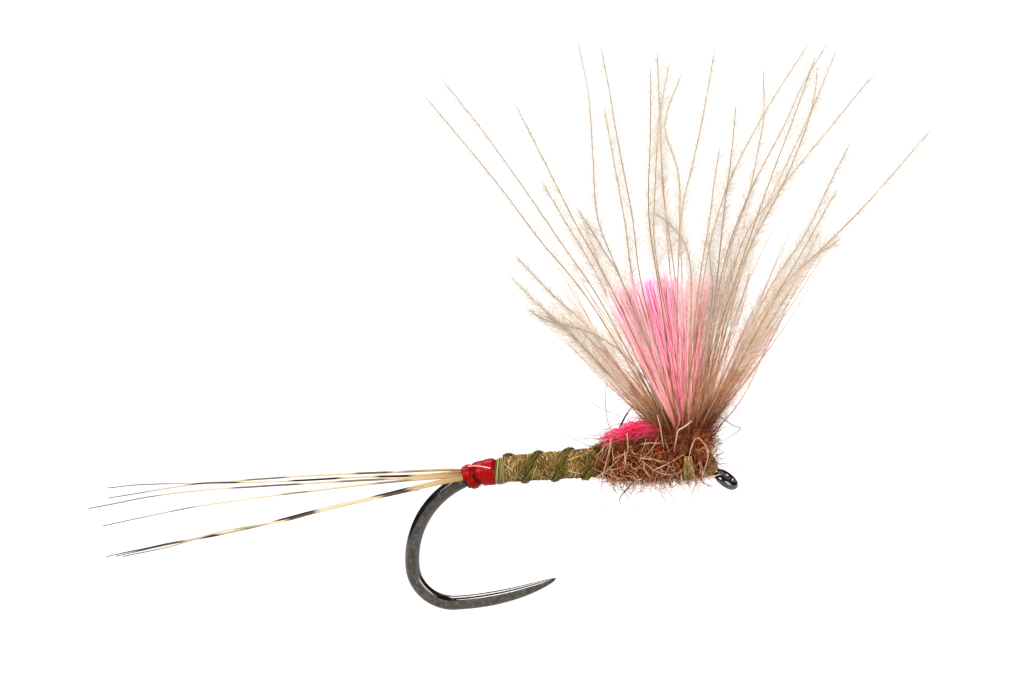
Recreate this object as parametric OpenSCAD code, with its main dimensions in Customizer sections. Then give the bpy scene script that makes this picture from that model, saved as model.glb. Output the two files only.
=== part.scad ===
// Upright-winged dry fly on a barbless, down-eyed hook.
// X runs forward along the shank to the eye, Y across the fly, Z up to the wing.
// The origin is the middle of the hook's eye.

/* [Hook] */
// Height of the shank's centreline above the middle of the eye
shank_z = 0.9; // [0.85:0.05:1]
// Diameter of the round wire along the shank
wire_d = 0.56; // [0.5:0.01:0.6]
// Distance from the eye back to where the bend begins
bend_start = 10; // [10:0.1:10.6]
// Centreline radius of the upper bend
bend_r = 4.29; // [4.1:0.01:4.4]
// Centreline radius of the lower bend
heel_r = 1.76; // [1.5:0.02:1.9]
// Centreline radius of the long curve from the lower bend to the point
spear_r = 12; // [10:0.5:16]
// Angle of that curve from the lowest place of the hook to the point
spear_angle = 22.5; // [18:0.5:24]
// Depth of the forged wire in the plane of the bend
forged_h = 0.64; // [0.58:0.01:0.66]
// Width of the forged wire across its flat faces
forged_w = 0.54; // [0.46:0.005:0.56]
// Angle by which the eye is turned down from the shank
eye_tilt = 40; // [35:1:45]
// Diameter of the hole through the eye
eye_hole_d = 0.52; // [0.48:0.01:0.54]
// Diameter of the wire that forms the eye
eye_wire_d = 0.38; // [0.34:0.01:0.42]

/* [Tail] */
// Diameter of a tail fibre at its root
tail_root_d = 0.11; // [0.08:0.01:0.12]
// Diameter of a tail fibre near its tip
tail_tip_d = 0.05; // [0.03:0.01:0.07]

/* [Tag] */
// Angle round the bend that the red tag covers
tag_angle = 18; // [17:1:22]
// Width of the flat red floss
floss_w = 0.66; // [0.5:0.02:0.7]
// Thickness of the flat red floss
floss_t = 0.075; // [0.05:0.005:0.09]

/* [Abdomen] */
// Length of the abdomen
abdomen_len = 4.4; // [4:0.1:4.5]
// Diameter of the abdomen at its rear end
abdomen_rear_d = 1.17; // [1.05:0.01:1.2]
// Diameter of the abdomen where it meets the thorax
abdomen_front_d = 1.33; // [1.2:0.01:1.4]
// Distance between the turns of the rib
rib_pitch = 1.36; // [1.2:0.02:1.6]
// Diameter of the ribbing cord
rib_d = 0.19; // [0.14:0.01:0.22]

/* [Thorax] */
// Largest diameter of the dubbed thorax
thorax_d = 1.8; // [1.7:0.05:1.9]
// How many long guard hairs stand out of the dubbing
guard_hairs_n = 30; // [12:1:40]
// Length of a guard hair outside the dubbing
guard_hair_len = 0.9; // [0.6:0.05:1.3]

/* [Wing] */
// Distance of the wing behind the eye
wing_back = 1.6; // [1.5:0.05:1.7]
// Length of the cut yarn post, from the shank to its flat top
post_len = 8.1; // [7:0.1:9]
// Thickness of the spread yarn post across the fly
post_t = 1.1; // [0.8:0.1:1.3]
// Reach of the dense down from the root of the wing
down_reach = 10.5; // [9:0.5:12]
// Thickness of each fan of down across the fly
down_t = 1.0; // [0.7:0.1:1.1]
// Diameter of a long down fibre at its root
down_root_d = 0.1; // [0.07:0.01:0.12]
// Diameter of a long down fibre at its tip
down_tip_d = 0.05; // [0.03:0.01:0.06]

/* [Thread] */
// Thickness of the layer of tying thread along the shank
thread_t = 0.02; // [0.02:0.005:0.04]
// Diameter of the tying thread where single turns stand out
thread_d = 0.08; // [0.06:0.01:0.1]

/* [Hidden] */

// Round faces, and the clearance between one wound layer and the next
round_fn = 48;
gap = 0.01;

// Stretches of wire run this far into each other, and each is this much thinner than the last
lap = 0.05;
step = 0.006;

// Hook: centres of its arcs in the plane Y = 0
bend_c = [-bend_start, 0, shank_z - bend_r];
heel_c = [-bend_start - bend_r + heel_r, 0, shank_z - bend_r];
spear_c = [heel_c[0], 0, heel_c[2] - heel_r + spear_r];
spear_taper_from = 0.3;
spear_rings = 16;
spear_sides = 24;
spear_lap = 0.25;
spear_fit = 0.985;
point_d = 0.03;

// Eye and neck
eye_land = 0.095;
eye_wire_r = eye_wire_d / 2;
eye_mean_r = eye_hole_d / 2 + sqrt(eye_wire_r * eye_wire_r - eye_land * eye_land);
neck_bend_r = 0.6;
neck_tangent = neck_bend_r * tan(eye_tilt / 2);
shank_front_x = -shank_z / tan(eye_tilt) - neck_tangent;
neck_len = shank_z / sin(eye_tilt) - neck_tangent;

// Layers over the wire: the tag starts a little way down the bend, just behind the collar
tag_from = 2.6;
tag_end = tag_from + tag_angle;
under_r = forged_h / 2 + thread_t;
bind_r = under_r + tail_root_d + gap;
collar_len = 0.45;
abdomen_rear_x = -bend_start + 0.3;
abdomen_front_x = abdomen_rear_x + abdomen_len;
abdomen_rear_up = 0.14;
abdomen_front_up = 0.22;
abdomen_bore_r = under_r + gap;
rib_top_x = abdomen_rear_x + 1.43;
rib_steps = 18;

// Thorax
thorax_rear_x = abdomen_front_x - 0.25;
thorax_split_x = -2.6;
thorax_front_x = -0.95;
thorax_up = 0.26;
wing_hole_r = 0.66;

// Yarn stub: X, height over the dubbing and radius of each of its three balls
stub_balls = [[-4.9, 0.34, 0.32], [-4.3, 0.38, 0.36], [-3.05, 0.14, 0.14]];

// Thread head: a cone along the neck
head_r = 0.56;
head_len = 0.48;

// Wing: its fans and long fibres spread from one root on top of the shank
wing_root = [-wing_back, 0, shank_z + 0.4];
tie_in_r = under_r + 0.12;
stem_r = 0.34;
stem_top = 0.85;
post_lean_rear = 19;
post_lean_front = 13;
golden = 137.5;

// Tail fibres: tip X, tip Y, tip Z, and how high the middle arches above a straight line
tail_rows = [
    [-27.9, 1.5, 0.6, 0.15],
    [-27.75, 0.6, 0.4, 0.25],
    [-28.45, -0.4, 0.3, 0.3],
    [-27.7, -1.5, -0.15, 0.3],
    [-27.4, -2.9, -1.1, 0.1],
    [-26.9, -3.1, -1.05, 0.1],
    [-26.5, -3.35, -0.95, 0.1]
];
tail_fan = 54;

// Fans of dense down: first lean, last lean, where it starts, reach, tilt across, shift across
rear_fan = [-42, -21, 1.5, down_reach, 0, 0];
near_fan = [-19, 19, 1.15, 0.95 * down_reach, -9, -0.9];
far_fan = [-19, 19, 1.15, 1.05 * down_reach, 9, 0.9];
front_fan = [15, 39, 1.3, 1.1 * down_reach, 0, 0];

// Long down fibres of each fan: lean at the tip, length, tilt across, and bow at mid length
rear_rows = [
    [-30, 20.1, -5, 0.3], [-28, 19.9, 5, 0.3], [-21, 18.3, -8, 0.3],
    [-24, 13.8, 4, 0.2], [-39, 11.5, -6, 0.1], [-36, 11.6, 6, 0.1]
];
near_rows = [
    [-6, 19.8, -8, 0.2], [-2, 16.1, -5, 0.1], [1, 18.9, -10, 0.2], [5, 19, -12, 0.1],
    [11, 15.5, -11, -0.1], [14, 17, -7, -0.1], [20, 20.4, -7, 0.5]
];
far_rows = [
    [-11, 18.9, 9, 0.3], [-8, 16, 5, 0.1], [-1, 17.8, 10, 0.1],
    [2, 17.2, 13, 0.1], [8, 18.1, 8, 0.1], [15, 17.2, 13, -0.2]
];
front_rows = [
    [21, 20.1, -9, 0.1], [22, 19.2, -4, -0.1], [24, 19.6, 3, 0.1], [26, 19, 10, 0.1],
    [30, 19, 5, 0.3], [33, 15.6, 9, 0.1], [34, 14.7, -9, 0.1], [36, 12.5, 3, 0.1],
    [39, 18.7, -4, 0.4]
];
down_rings = 6;
down_sides = 6;

function unit(v) = v / norm(v);

// Point on a circle in the plane Y = 0, at an angle from +X towards +Z
function arc_point(c, r, a) = c + r * [cos(a), 0, sin(a)];

// Direction of a path at one of its points
function heading(path, i) = unit(path[min(i + 1, len(path) - 1)] - path[max(i - 1, 0)]);

// One ring of points round a path, in the plane across it
function ring(p, t, up, r, sides) =
    let (s = unit(cross(up, t)), u = cross(t, s))
    [for (k = [0 : sides - 1]) p + r * (cos(360 * k / sides) * s + sin(360 * k / sides) * u)];

// Point on a quadratic curve from a to b that passes the middle offset by bow
function bowed(a, b, bow, s) = a + (b - a) * s + 4 * s * (1 - s) * bow;

// Centre of the wire in the upper bend, at an angle back from the end of the shank
function bend_mid(b) = bend_c + bend_r * [-sin(b), 0, cos(b)];
function bend_up(b) = [-sin(b), 0, cos(b)];
function bend_back(b) = [-cos(b), 0, -sin(b)];

// Radius and height of the abdomen's surface at a distance along it
function abdomen_s(x) = min(max((x - abdomen_rear_x) / abdomen_len, 0), 1);
function abdomen_r(x) = (abdomen_rear_d + (abdomen_front_d - abdomen_rear_d) * abdomen_s(x)) / 2;
function abdomen_z(x) = shank_z + abdomen_rear_up + (abdomen_front_up - abdomen_rear_up) * abdomen_s(x);

// A closed skin through a list of rings that all have the same number of points
module loft(rings) {
    n = len(rings[0]);
    m = len(rings);
    sides = [
        for (j = [0 : m - 2], i = [0 : n - 1])
            let (a = j * n + i, b = j * n + (i + 1) % n)
            each [[a, b, b + n], [a, b + n, a + n]]
    ];
    first_cap = [for (i = [1 : n - 2]) [0, i + 1, i]];
    last_cap = [for (i = [1 : n - 2]) [(m - 1) * n, (m - 1) * n + i, (m - 1) * n + i + 1]];
    polyhedron(
        points = [for (r = rings) each r],
        faces = [for (f = concat(sides, first_cap, last_cap)) [f[0], f[2], f[1]]]
    );
}

// A tapered fibre along a path
module fibre(path, d0, d1, up = [0, 0, 1], sides = 8) {
    last = len(path) - 1;
    loft([
        for (i = [0 : last])
            ring(path[i], heading(path, i), up, (d0 + (d1 - d0) * i / last) / 2, sides)
    ]);
}

// A tube along the shank between two places, lifted above the wire's centreline by lift
module shank_sleeve(x0, x1, r0, r1, bore, lift = 0) {
    difference() {
        translate([x0, 0, shank_z + lift])
            rotate([0, 90, 0])
                cylinder(h = x1 - x0, r1 = r0, r2 = r1, $fn = round_fn);
        translate([x0 - 1, 0, shank_z])
            rotate([0, 90, 0])
                cylinder(h = x1 - x0 + 2, r = bore, $fn = round_fn);
    }
}

// A run of touching thread turns as a ring of round beads, from x = 0 along X
module thread_turns(len, r_in, r_out, turns) {
    bead = len / turns / 2;
    rotate([0, 90, 0])
        rotate_extrude($fn = round_fn)
            union() {
                translate([r_in, 0])
                    square([r_out - r_in - bead, len]);
                for (k = [0 : turns - 1])
                    translate([r_out - bead, (2 * k + 1) * bead])
                        circle(r = bead * 1.04, $fn = 16);
            }
}

// Wire bent along an arc in the plane Y = 0, with the section given by the child
module arc_sweep(c, r, a0, a1) {
    translate(c)
        rotate([90, 0, 0])
            rotate([0, 0, a0])
                rotate_extrude(angle = a1 - a0, $fn = 96)
                    translate([r, 0])
                        children();
}

module forged_section() {
    intersection() {
        circle(d = forged_h, $fn = round_fn);
        square([forged_h * 2, forged_w], center = true);
    }
}

// Ring of the forged section on the spear, scaled down by k towards the point
function spear_ring(a, k) =
    let (
        c = arc_point(spear_c, spear_r, a),
        n = [cos(a), 0, sin(a)],
        h = max(forged_h * k, point_d) / 2,
        w = max(forged_w * k, point_d) / 2
    )
    [
        for (i = [0 : spear_sides - 1])
            let (b = 360 * i / spear_sides)
            c + h * cos(b) * n + [0, min(max(h * sin(b), -w), w), 0]
    ];

// Thickness of the spear along its length, as a share of the full wire
function spear_share(s) =
    let (taper = max(s - spear_taper_from, 0) / (1 - spear_taper_from))
    spear_fit * sqrt(1 - pow(taper, 1.6));

module spear() {
    loft([
        for (i = [0 : spear_rings])
            let (s = i / spear_rings)
            spear_ring(270 - spear_lap * (1 - s) + spear_angle * s, spear_share(s))
    ]);
}

// The eye's frame: its X axis runs down and forward through the middle of the ring
module eye_frame() {
    rotate([0, eye_tilt, 0])
        children();
}

module hook() {
    color([0.13, 0.13, 0.14])
    difference() {
        union() {
            translate([-bend_start - lap, 0, shank_z])
                rotate([0, 90, 0])
                    cylinder(h = bend_start + lap + shank_front_x, d = wire_d, $fn = round_fn);
            arc_sweep(bend_c, bend_r, 90, 180)
                forged_section();
            arc_sweep(heel_c, heel_r, 180, 270)
                forged_section();
            spear();
            arc_sweep([shank_front_x, 0, shank_z - neck_bend_r], neck_bend_r, 90 - eye_tilt, 93)
                circle(d = wire_d - step, $fn = round_fn);
            eye_frame()
                translate([-neck_len - lap, 0, 0])
                    rotate([0, 90, 0])
                        cylinder(
                            h = neck_len - eye_mean_r + lap,
                            d1 = wire_d - 2 * step,
                            d2 = eye_wire_d,
                            $fn = round_fn
                        );
            eye_frame()
                rotate_extrude($fn = 96)
                    translate([eye_mean_r, 0])
                        circle(d = eye_wire_d, $fn = 32);
        }
        eye_frame()
            cylinder(h = 1, d = eye_hole_d, center = true, $fn = round_fn);
    }
}

// Tying thread laid along the whole shank and a little way down the bend
module thread_underbody() {
    color([0.36, 0.33, 0.15])
    difference() {
        union() {
            translate([-bend_start, 0, shank_z])
                rotate([0, 90, 0])
                    cylinder(h = bend_start + shank_front_x, r = under_r, $fn = round_fn);
            arc_sweep(bend_c, bend_r, 90, 90 + tag_end + 1)
                circle(r = under_r, $fn = round_fn);
        }
        translate([-bend_start, 0, shank_z])
            rotate([0, 90, 0])
                cylinder(h = bend_start + shank_front_x + 1, d = wire_d, $fn = round_fn);
        arc_sweep(bend_c, bend_r, 89.9, 90 + tag_end + 3)
            circle(d = forged_h, $fn = round_fn);
    }
}

// One tail fibre: its butt lies on the wire under the tag, then it runs out in a shallow arch
module tail_fibre(k) {
    row = tail_rows[k];
    side = tail_fan * (1 - 2 * k / (len(tail_rows) - 1));
    lie_r = under_r + tail_root_d / 2 + gap / 2;
    function lie(b) = bend_mid(b) + lie_r * (cos(side) * bend_up(b) + [0, sin(side), 0]);
    root = lie(tag_end + 1);
    tip = [row[0], row[1], row[2]];
    out = [for (s = [0.1 : 0.1 : 1]) bowed(root, tip, [0, 0, row[3]], s)];
    color([0.78, 0.66, 0.45])
    fibre(concat([lie(0), lie(tag_end / 2), root], out), tail_root_d, tail_tip_d);
}

// Flat floss wound twice round the bend, with a slanting gap between its turns
module red_tag() {
    turns = 2;
    steps = 20;
    lead = (tag_angle * PI / 180 * bend_r - floss_w) / turns;
    lift = 0.02;
    color([0.8, 0.07, 0.08])
    loft([
        for (i = [0 : turns * steps])
            let (
                a = 360 * i / steps - 60,
                b = tag_from + ((i / steps) * lead + floss_w / 2) / bend_r * 180 / PI,
                n = cos(a) * bend_up(b) + [0, sin(a), 0],
                c = bend_mid(b) + lift * bend_up(b),
                back = bend_back(b),
                w = floss_w / 2,
                r = bind_r + lift
            )
            [
                c + n * r - back * w,
                c + n * (r + floss_t * 0.7) - back * w,
                c + n * (r + floss_t) - back * w * 0.6,
                c + n * (r + floss_t) + back * w * 0.6,
                c + n * (r + floss_t * 0.7) + back * w,
                c + n * r + back * w
            ]
    ]);
}

// Fine pale strand that crosses the tag on the near side
module tag_strand() {
    r = bind_r + floss_t + 0.075;
    color([0.93, 0.6, 0.6])
    fibre(
        [
            for (i = [0 : 10])
                let (
                    s = i / 10,
                    a = -20 - 70 * s,
                    b = tag_from + tag_angle * (0.78 - 0.72 * s)
                )
                bend_mid(b) + r * (cos(a) * bend_up(b) + [0, sin(a), 0])
        ],
        0.045, 0.045, [0, 1, 0.3]
    );
}

module rear_collar() {
    color([0.34, 0.33, 0.12])
    translate([-bend_start - 0.17, 0, shank_z])
        thread_turns(collar_len, bind_r + 0.01, 0.56, 5);
}

module abdomen_wrap() {
    tilt = atan((abdomen_front_up - abdomen_rear_up) / abdomen_len);
    color([0.55, 0.5, 0.28])
    difference() {
        translate([abdomen_rear_x, 0, shank_z + abdomen_rear_up])
            rotate([0, 90 - tilt, 0])
                cylinder(h = abdomen_len, d1 = abdomen_rear_d, d2 = abdomen_front_d, $fn = round_fn);
        translate([abdomen_rear_x - 1, 0, shank_z])
            rotate([0, 90, 0])
                cylinder(h = abdomen_len + 2, r = abdomen_bore_r, $fn = round_fn);
    }
}

// Cord wound forward over the abdomen: on the near side it climbs as it runs forward
module rib_cord() {
    x0 = abdomen_rear_x + rib_d / 2;
    x1 = thorax_rear_x - rib_d / 2;
    n = ceil((x1 - x0) / rib_pitch * rib_steps);
    color([0.27, 0.28, 0.1])
    fibre(
        [
            for (i = [0 : n])
                let (
                    x = x0 + (x1 - x0) * i / n,
                    a = 360 * (x - rib_top_x) / rib_pitch,
                    r = abdomen_r(x) + rib_d / 2 + gap
                )
                [x, r * sin(a), abdomen_z(x) + r * cos(a)]
        ],
        rib_d, rib_d, [1, 0, 0]
    );
}

// A barrel of dubbing round the shank
module dubbing_barrel(x0, x1, r0, r1, bore) {
    mid = thorax_d / 2;
    len = x1 - x0;
    difference() {
        translate([x0, 0, shank_z + thorax_up])
            rotate([0, 90, 0])
                rotate_extrude($fn = round_fn)
                    polygon(concat(
                        [[0, 0]],
                        [
                            for (s = [0 : 0.125 : 1])
                                let (end = r0 + (r1 - r0) * s)
                                [end + (mid - end) * sin(180 * s), len * s]
                        ],
                        [[0, len]]
                    ));
        translate([x0 - 1, 0, shank_z])
            rotate([0, 90, 0])
                cylinder(h = len + 2, r = bore, $fn = round_fn);
    }
}

module thorax_dubbing_rear() {
    rear_r = abdomen_front_d / 2 + rib_d + 0.03;
    over_abdomen = 1 + abdomen_front_x - thorax_rear_x + gap;
    color([0.45, 0.22, 0.12])
    difference() {
        dubbing_barrel(thorax_rear_x, thorax_split_x - gap, rear_r, 0.8, abdomen_bore_r);
        translate([thorax_rear_x - 1, 0, shank_z + abdomen_front_up])
            rotate([0, 90, 0])
                cylinder(h = over_abdomen, d = abdomen_front_d + 0.03, $fn = round_fn);
    }
}

module thorax_dubbing_front() {
    color([0.5, 0.25, 0.13])
    difference() {
        dubbing_barrel(thorax_split_x, thorax_front_x, 0.8, 0.6, tie_in_r + gap);
        translate([wing_root[0], 0, shank_z])
            cylinder(h = 3, r = wing_hole_r, $fn = round_fn);
        eye_frame()
            translate([-neck_len - 0.2, 0, 0])
                rotate([0, 90, 0])
                    cylinder(h = 2, r = head_r + 2 * gap, $fn = round_fn);
    }
}

// Turns of tying thread that cross the dubbing under the wing
module thorax_thread() {
    r = thorax_d / 2 + thread_d / 2 + gap;
    color([0.55, 0.5, 0.25])
    fibre(
        [
            for (i = [0 : 22])
                let (a = 75 + 9.5 * i)
                [
                    thorax_split_x + 0.5 + 0.03 * i,
                    r * sin(a),
                    shank_z + thorax_up + r * cos(a)
                ]
        ],
        thread_d, thread_d, [1, 0, 0]
    );
}

// Hairs that stand out of the dubbing below and beside the shank, spread by the golden angle
module guard_hairs() {
    span = thorax_front_x - thorax_rear_x - 0.7;
    r0 = thorax_d / 2 + 0.02;
    color([0.7, 0.5, 0.35])
    for (k = [0 : guard_hairs_n - 1]) {
        x = thorax_rear_x + 0.35 + span * (k + 0.5) / guard_hairs_n;
        a = 62 + (k * golden) % 236;
        lean = 0.6 * sin(k * 97);
        out = [0, sin(a), cos(a)];
        root = [x, 0, shank_z + thorax_up] + r0 * out;
        reach = guard_hair_len * (0.7 + 0.3 * cos(k * 53));
        tip = root + reach * out + [lean, 0, 0];
        fibre(
            [for (s = [0 : 0.25 : 1]) bowed(root, tip, [0.15 * cos(k * 61), 0, 0.1 * sin(k * 41)], s)],
            0.05, 0.02, [1, 0.01, 0], 5
        );
    }
}

// Cut end of the post yarn, folded back over the rear of the thorax
module yarn_stub() {
    top = shank_z + thorax_up + thorax_d / 2 + 0.04;
    color([0.98, 0.2, 0.5])
    hull()
        for (ball = stub_balls)
            translate([ball[0], 0, top + ball[1]])
                sphere(r = ball[2], $fn = 20);
}

// Where a fan's edge lies at a distance from the wing's root
function fan_point(lean, r) = [r * sin(lean), r * cos(lean)];

// Spread yarn with a flat cut top, on a round stem that stands on the shank
module post_yarn() {
    tip = [
        fan_point(-post_lean_rear, 0.9 / cos(post_lean_rear)),
        fan_point(-post_lean_rear, post_len / cos(post_lean_rear)),
        fan_point(post_lean_front, post_len / cos(post_lean_front)),
        fan_point(post_lean_front, 0.9 / cos(post_lean_front))
    ];
    color([0.98, 0.35, 0.62])
    translate(wing_root)
        union() {
            translate([0, 0, 0.1])
                cylinder(h = stem_top, r = stem_r, $fn = round_fn);
            translate([0, post_t / 2, 0])
                rotate([90, 0, 0])
                    linear_extrude(height = post_t)
                        polygon(tip);
        }
}

// Stems of the down, gathered in a ring round the post
module down_stems() {
    color([0.5, 0.35, 0.27])
    translate(wing_root + [0, 0, 0.1])
        difference() {
            cylinder(h = stem_top - 0.1, r = stem_r + 0.18, $fn = round_fn);
            translate([0, 0, -1])
                cylinder(h = 3, r = stem_r + gap, $fn = round_fn);
        }
}

module post_wraps() {
    color([0.36, 0.33, 0.15])
    translate(wing_root + [0, 0, 0.15])
        rotate([0, -90, 0])
            thread_turns(0.4, stem_r + 0.18 + gap, wing_hole_r - gap, 5);
}

module wing_tie_in() {
    color([0.36, 0.33, 0.15])
    translate([thorax_split_x + 0.2, 0, shank_z])
        thread_turns(shank_front_x - thorax_split_x - 0.22, under_r + gap, tie_in_r, 10);
}

// Outer edge of a fan at a lean, slightly ragged
function fan_rim(fan, lean) = fan[3] * (1 - 0.04 * abs(sin(4 * (lean - (fan[0] + fan[1]) / 2))));

// Point in the middle plane of a fan, in the whole fly's frame
function fan_place(fan, lean, r) =
    let (x = r * sin(lean), z = r * cos(lean), y = fan[5], a = fan[4])
    wing_root + [x, y * cos(a) + z * sin(a), z * cos(a) - y * sin(a)];

module down_fan(fan) {
    translate(wing_root)
        rotate([-fan[4], 0, 0])
            translate([0, fan[5] + down_t / 2, 0])
                rotate([90, 0, 0])
                    linear_extrude(height = down_t)
                        polygon(concat(
                            [fan_point(fan[0], fan[2])],
                            [
                                for (i = [0 : 12])
                                    let (lean = fan[0] + (fan[1] - fan[0]) * i / 12)
                                    fan_point(lean, fan_rim(fan, lean))
                            ],
                            [fan_point(fan[1], fan[2])]
                        ));
}

// Long single fibres, from the ragged edge of their fan to their tips
module long_fibres(fan, rows) {
    for (row = rows) {
        edge_lean = min(max(row[0], fan[0] + 1.5), fan[1] - 1.5);
        start = fan_place(fan, edge_lean, fan_rim(fan, edge_lean));
        tip = wing_root + row[1] * unit([sin(row[0]), sin(row[2]), cos(row[0])]);
        out = unit(cross(tip - start, [0, 1, 0]));
        fibre(
            [for (i = [0 : down_rings]) bowed(start, tip, -row[3] * out, i / down_rings)],
            down_root_d, down_tip_d, [0, 1, 0], down_sides
        );
    }
}

module down_fan_rear() {
    color([0.66, 0.57, 0.49])
    down_fan(rear_fan);
}

module down_fan_near() {
    color([0.64, 0.55, 0.46])
    down_fan(near_fan);
}

module down_fan_far() {
    color([0.62, 0.53, 0.45])
    down_fan(far_fan);
}

module down_fan_front() {
    color([0.64, 0.55, 0.47])
    down_fan(front_fan);
}

module long_fibres_rear() {
    color([0.6, 0.5, 0.42])
    long_fibres(rear_fan, rear_rows);
}

module long_fibres_near() {
    color([0.6, 0.5, 0.42])
    long_fibres(near_fan, near_rows);
}

module long_fibres_far() {
    color([0.6, 0.5, 0.42])
    long_fibres(far_fan, far_rows);
}

module long_fibres_front() {
    color([0.6, 0.5, 0.42])
    long_fibres(front_fan, front_rows);
}

// Outline of the thread head along the neck, made larger all round by grow
function head_outline(grow) = [
    [0, -0.08],
    [head_r - 0.06 + grow, -0.08],
    [head_r + grow, 0.05],
    [head_r - 0.05 + grow, 0.2],
    [wire_d / 2 + 0.1 + grow, head_len + grow],
    [0, head_len + grow]
];

module head_turned(grow) {
    rotate([0, 90, 0])
        rotate_extrude($fn = round_fn)
            polygon(head_outline(grow));
}

// Clear space round the neck's wire inside the head
module neck_bore() {
    translate([-1, 0, 0])
        rotate([0, 90, 0])
            cylinder(h = 3, r = wire_d / 2 + gap, $fn = round_fn);
}

// Cone of tying thread along the turned-down neck, up to the eye
module thread_head() {
    color([0.45, 0.4, 0.18])
    eye_frame()
        translate([-neck_len + 0.05, 0, 0])
            difference() {
                head_turned(0);
                neck_bore();
            }
}

// Thin coat of varnish over the front half of the head
module head_varnish() {
    color([0.55, 0.45, 0.2, 0.6])
    eye_frame()
        translate([-neck_len + 0.05, 0, 0])
            difference() {
                intersection() {
                    head_turned(0.035);
                    translate([0.22, -1, -1])
                        cube(2);
                }
                head_turned(0.005);
                neck_bore();
            }
}

hook();
thread_underbody();
tail_fibre(0);  // tail_fibre_1
tail_fibre(1);  // tail_fibre_2
tail_fibre(2);  // tail_fibre_3
tail_fibre(3);  // tail_fibre_4
tail_fibre(4);  // tail_fibre_5
tail_fibre(5);  // tail_fibre_6
tail_fibre(6);  // tail_fibre_7
red_tag();
tag_strand();
rear_collar();
abdomen_wrap();
rib_cord();
thorax_dubbing_rear();
thorax_dubbing_front();
thorax_thread();
guard_hairs();
yarn_stub();
post_yarn();
down_stems();
post_wraps();
wing_tie_in();
down_fan_rear();
down_fan_near();
down_fan_far();
down_fan_front();
long_fibres_rear();
long_fibres_near();
long_fibres_far();
long_fibres_front();
thread_head();
head_varnish();
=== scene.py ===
import math

import bpy
import numpy as np
from mathutils import Matrix


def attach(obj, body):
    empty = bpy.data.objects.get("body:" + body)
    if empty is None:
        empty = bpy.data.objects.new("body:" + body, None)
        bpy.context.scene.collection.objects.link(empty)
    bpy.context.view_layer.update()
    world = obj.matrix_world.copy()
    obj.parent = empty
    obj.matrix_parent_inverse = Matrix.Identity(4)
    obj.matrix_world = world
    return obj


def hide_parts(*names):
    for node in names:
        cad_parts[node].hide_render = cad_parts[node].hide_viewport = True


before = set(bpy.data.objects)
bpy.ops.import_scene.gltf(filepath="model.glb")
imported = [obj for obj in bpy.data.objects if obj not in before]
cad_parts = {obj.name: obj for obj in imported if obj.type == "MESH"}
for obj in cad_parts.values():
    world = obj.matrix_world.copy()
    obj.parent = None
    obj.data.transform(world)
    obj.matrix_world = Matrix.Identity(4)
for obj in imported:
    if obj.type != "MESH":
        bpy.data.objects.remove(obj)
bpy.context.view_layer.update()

MM = 0.001  # the meshes are worked out in millimetres and written in metres

# ---- the fly's own measures, in millimetres ----
SHANK_Z = 0.9
SHANK_R = 0.28
SHANK_FRONT_X = -1.291
FORGED_R = 0.325
HEEL_R = 1.76
FLAT_TWIST = 13.0
BEND_C = np.array([-10.0, 0.0, -3.35])
BEND_R = 4.29
WING_ROOT = np.array([-1.6, 0.0, 1.3])
UNDER_R = 0.34
TAG_FROM = 1.2  # degrees round the bend
EYE_TILT = math.radians(40)
EYE_BACK = np.array([-math.cos(EYE_TILT), 0, math.sin(EYE_TILT)])
EYE_AXIS = np.array([math.sin(EYE_TILT), 0, math.cos(EYE_TILT)])
EYE_R, EYE_WIRE_R = 0.4245, 0.19
HEAD_REAR, HEAD_FRONT = 1.2, 0.64  # distances from the eye's centre
Y_AXIS = np.array([0.0, 1.0, 0.0])


# ---- small vector helpers ----
def unit(v):
    return v / np.maximum(np.linalg.norm(v, axis=-1, keepdims=True), 1e-9)


def bend_mid(b):
    b = np.radians(b)
    return BEND_C + BEND_R * np.stack([-np.sin(b), 0 * b, np.cos(b)], -1)


def bend_up(b):
    b = np.radians(b)
    return np.stack([-np.sin(b), 0 * b, np.cos(b)], -1)


def carried(paths):
    """Along each path of shape (strand, point, 3): its heading and two directions across it.

    The directions across are carried along without twist.
    """
    heading = unit(np.gradient(paths, axis=1))
    first = heading[:, 0]
    guess = np.where(np.abs(first[:, 2:3]) > 0.8, [[1.0, 0, 0]], [[0, 0, 1.0]])
    across = np.empty_like(paths)
    now = guess
    for k in range(paths.shape[1]):
        h = heading[:, k]
        now = unit(now - (now * h).sum(-1, keepdims=True) * h)
        across[:, k] = now
    return heading, across, np.cross(heading, across)


def resample(points, count):
    """count points at even steps along one polyline."""
    points = np.asarray(points, float)
    run = np.concatenate([[0], np.cumsum(np.linalg.norm(np.diff(points, axis=0), axis=1))])
    at = np.linspace(0, run[-1], count)
    return np.stack([np.interp(at, run, points[:, k]) for k in range(3)], -1)


def through(points, count):
    """A smooth line of count even steps through the given points."""
    p = np.asarray(points, float)
    p = np.concatenate([[2 * p[0] - p[1]], p, [2 * p[-1] - p[-2]]])
    s = np.linspace(0, 1, 16, endpoint=False)[:, None]
    rows = []
    for a, b, c, d in zip(p[:-3], p[1:-2], p[2:-1], p[3:]):
        square = (2 * a - 5 * b + 4 * c - d) * s**2
        cube = (3 * b - a - 3 * c + d) * s**3
        rows.append(0.5 * (2 * b + (c - a) * s + square + cube))
    return resample(np.concatenate([*rows, p[-2:-1]]), count)


def curves(p0, c1, c2, p3, count):
    """Cubic curves of shape (strand, count, 3) between rows of points."""
    s = np.linspace(0, 1, count)[None, :, None]
    p0, c1, c2, p3 = (np.asarray(p, float)[:, None, :] for p in (p0, c1, c2, p3))
    return (1 - s) ** 3 * p0 + 3 * s * (1 - s) ** 2 * c1 + 3 * s * s * (1 - s) * c2 + s**3 * p3


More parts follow.
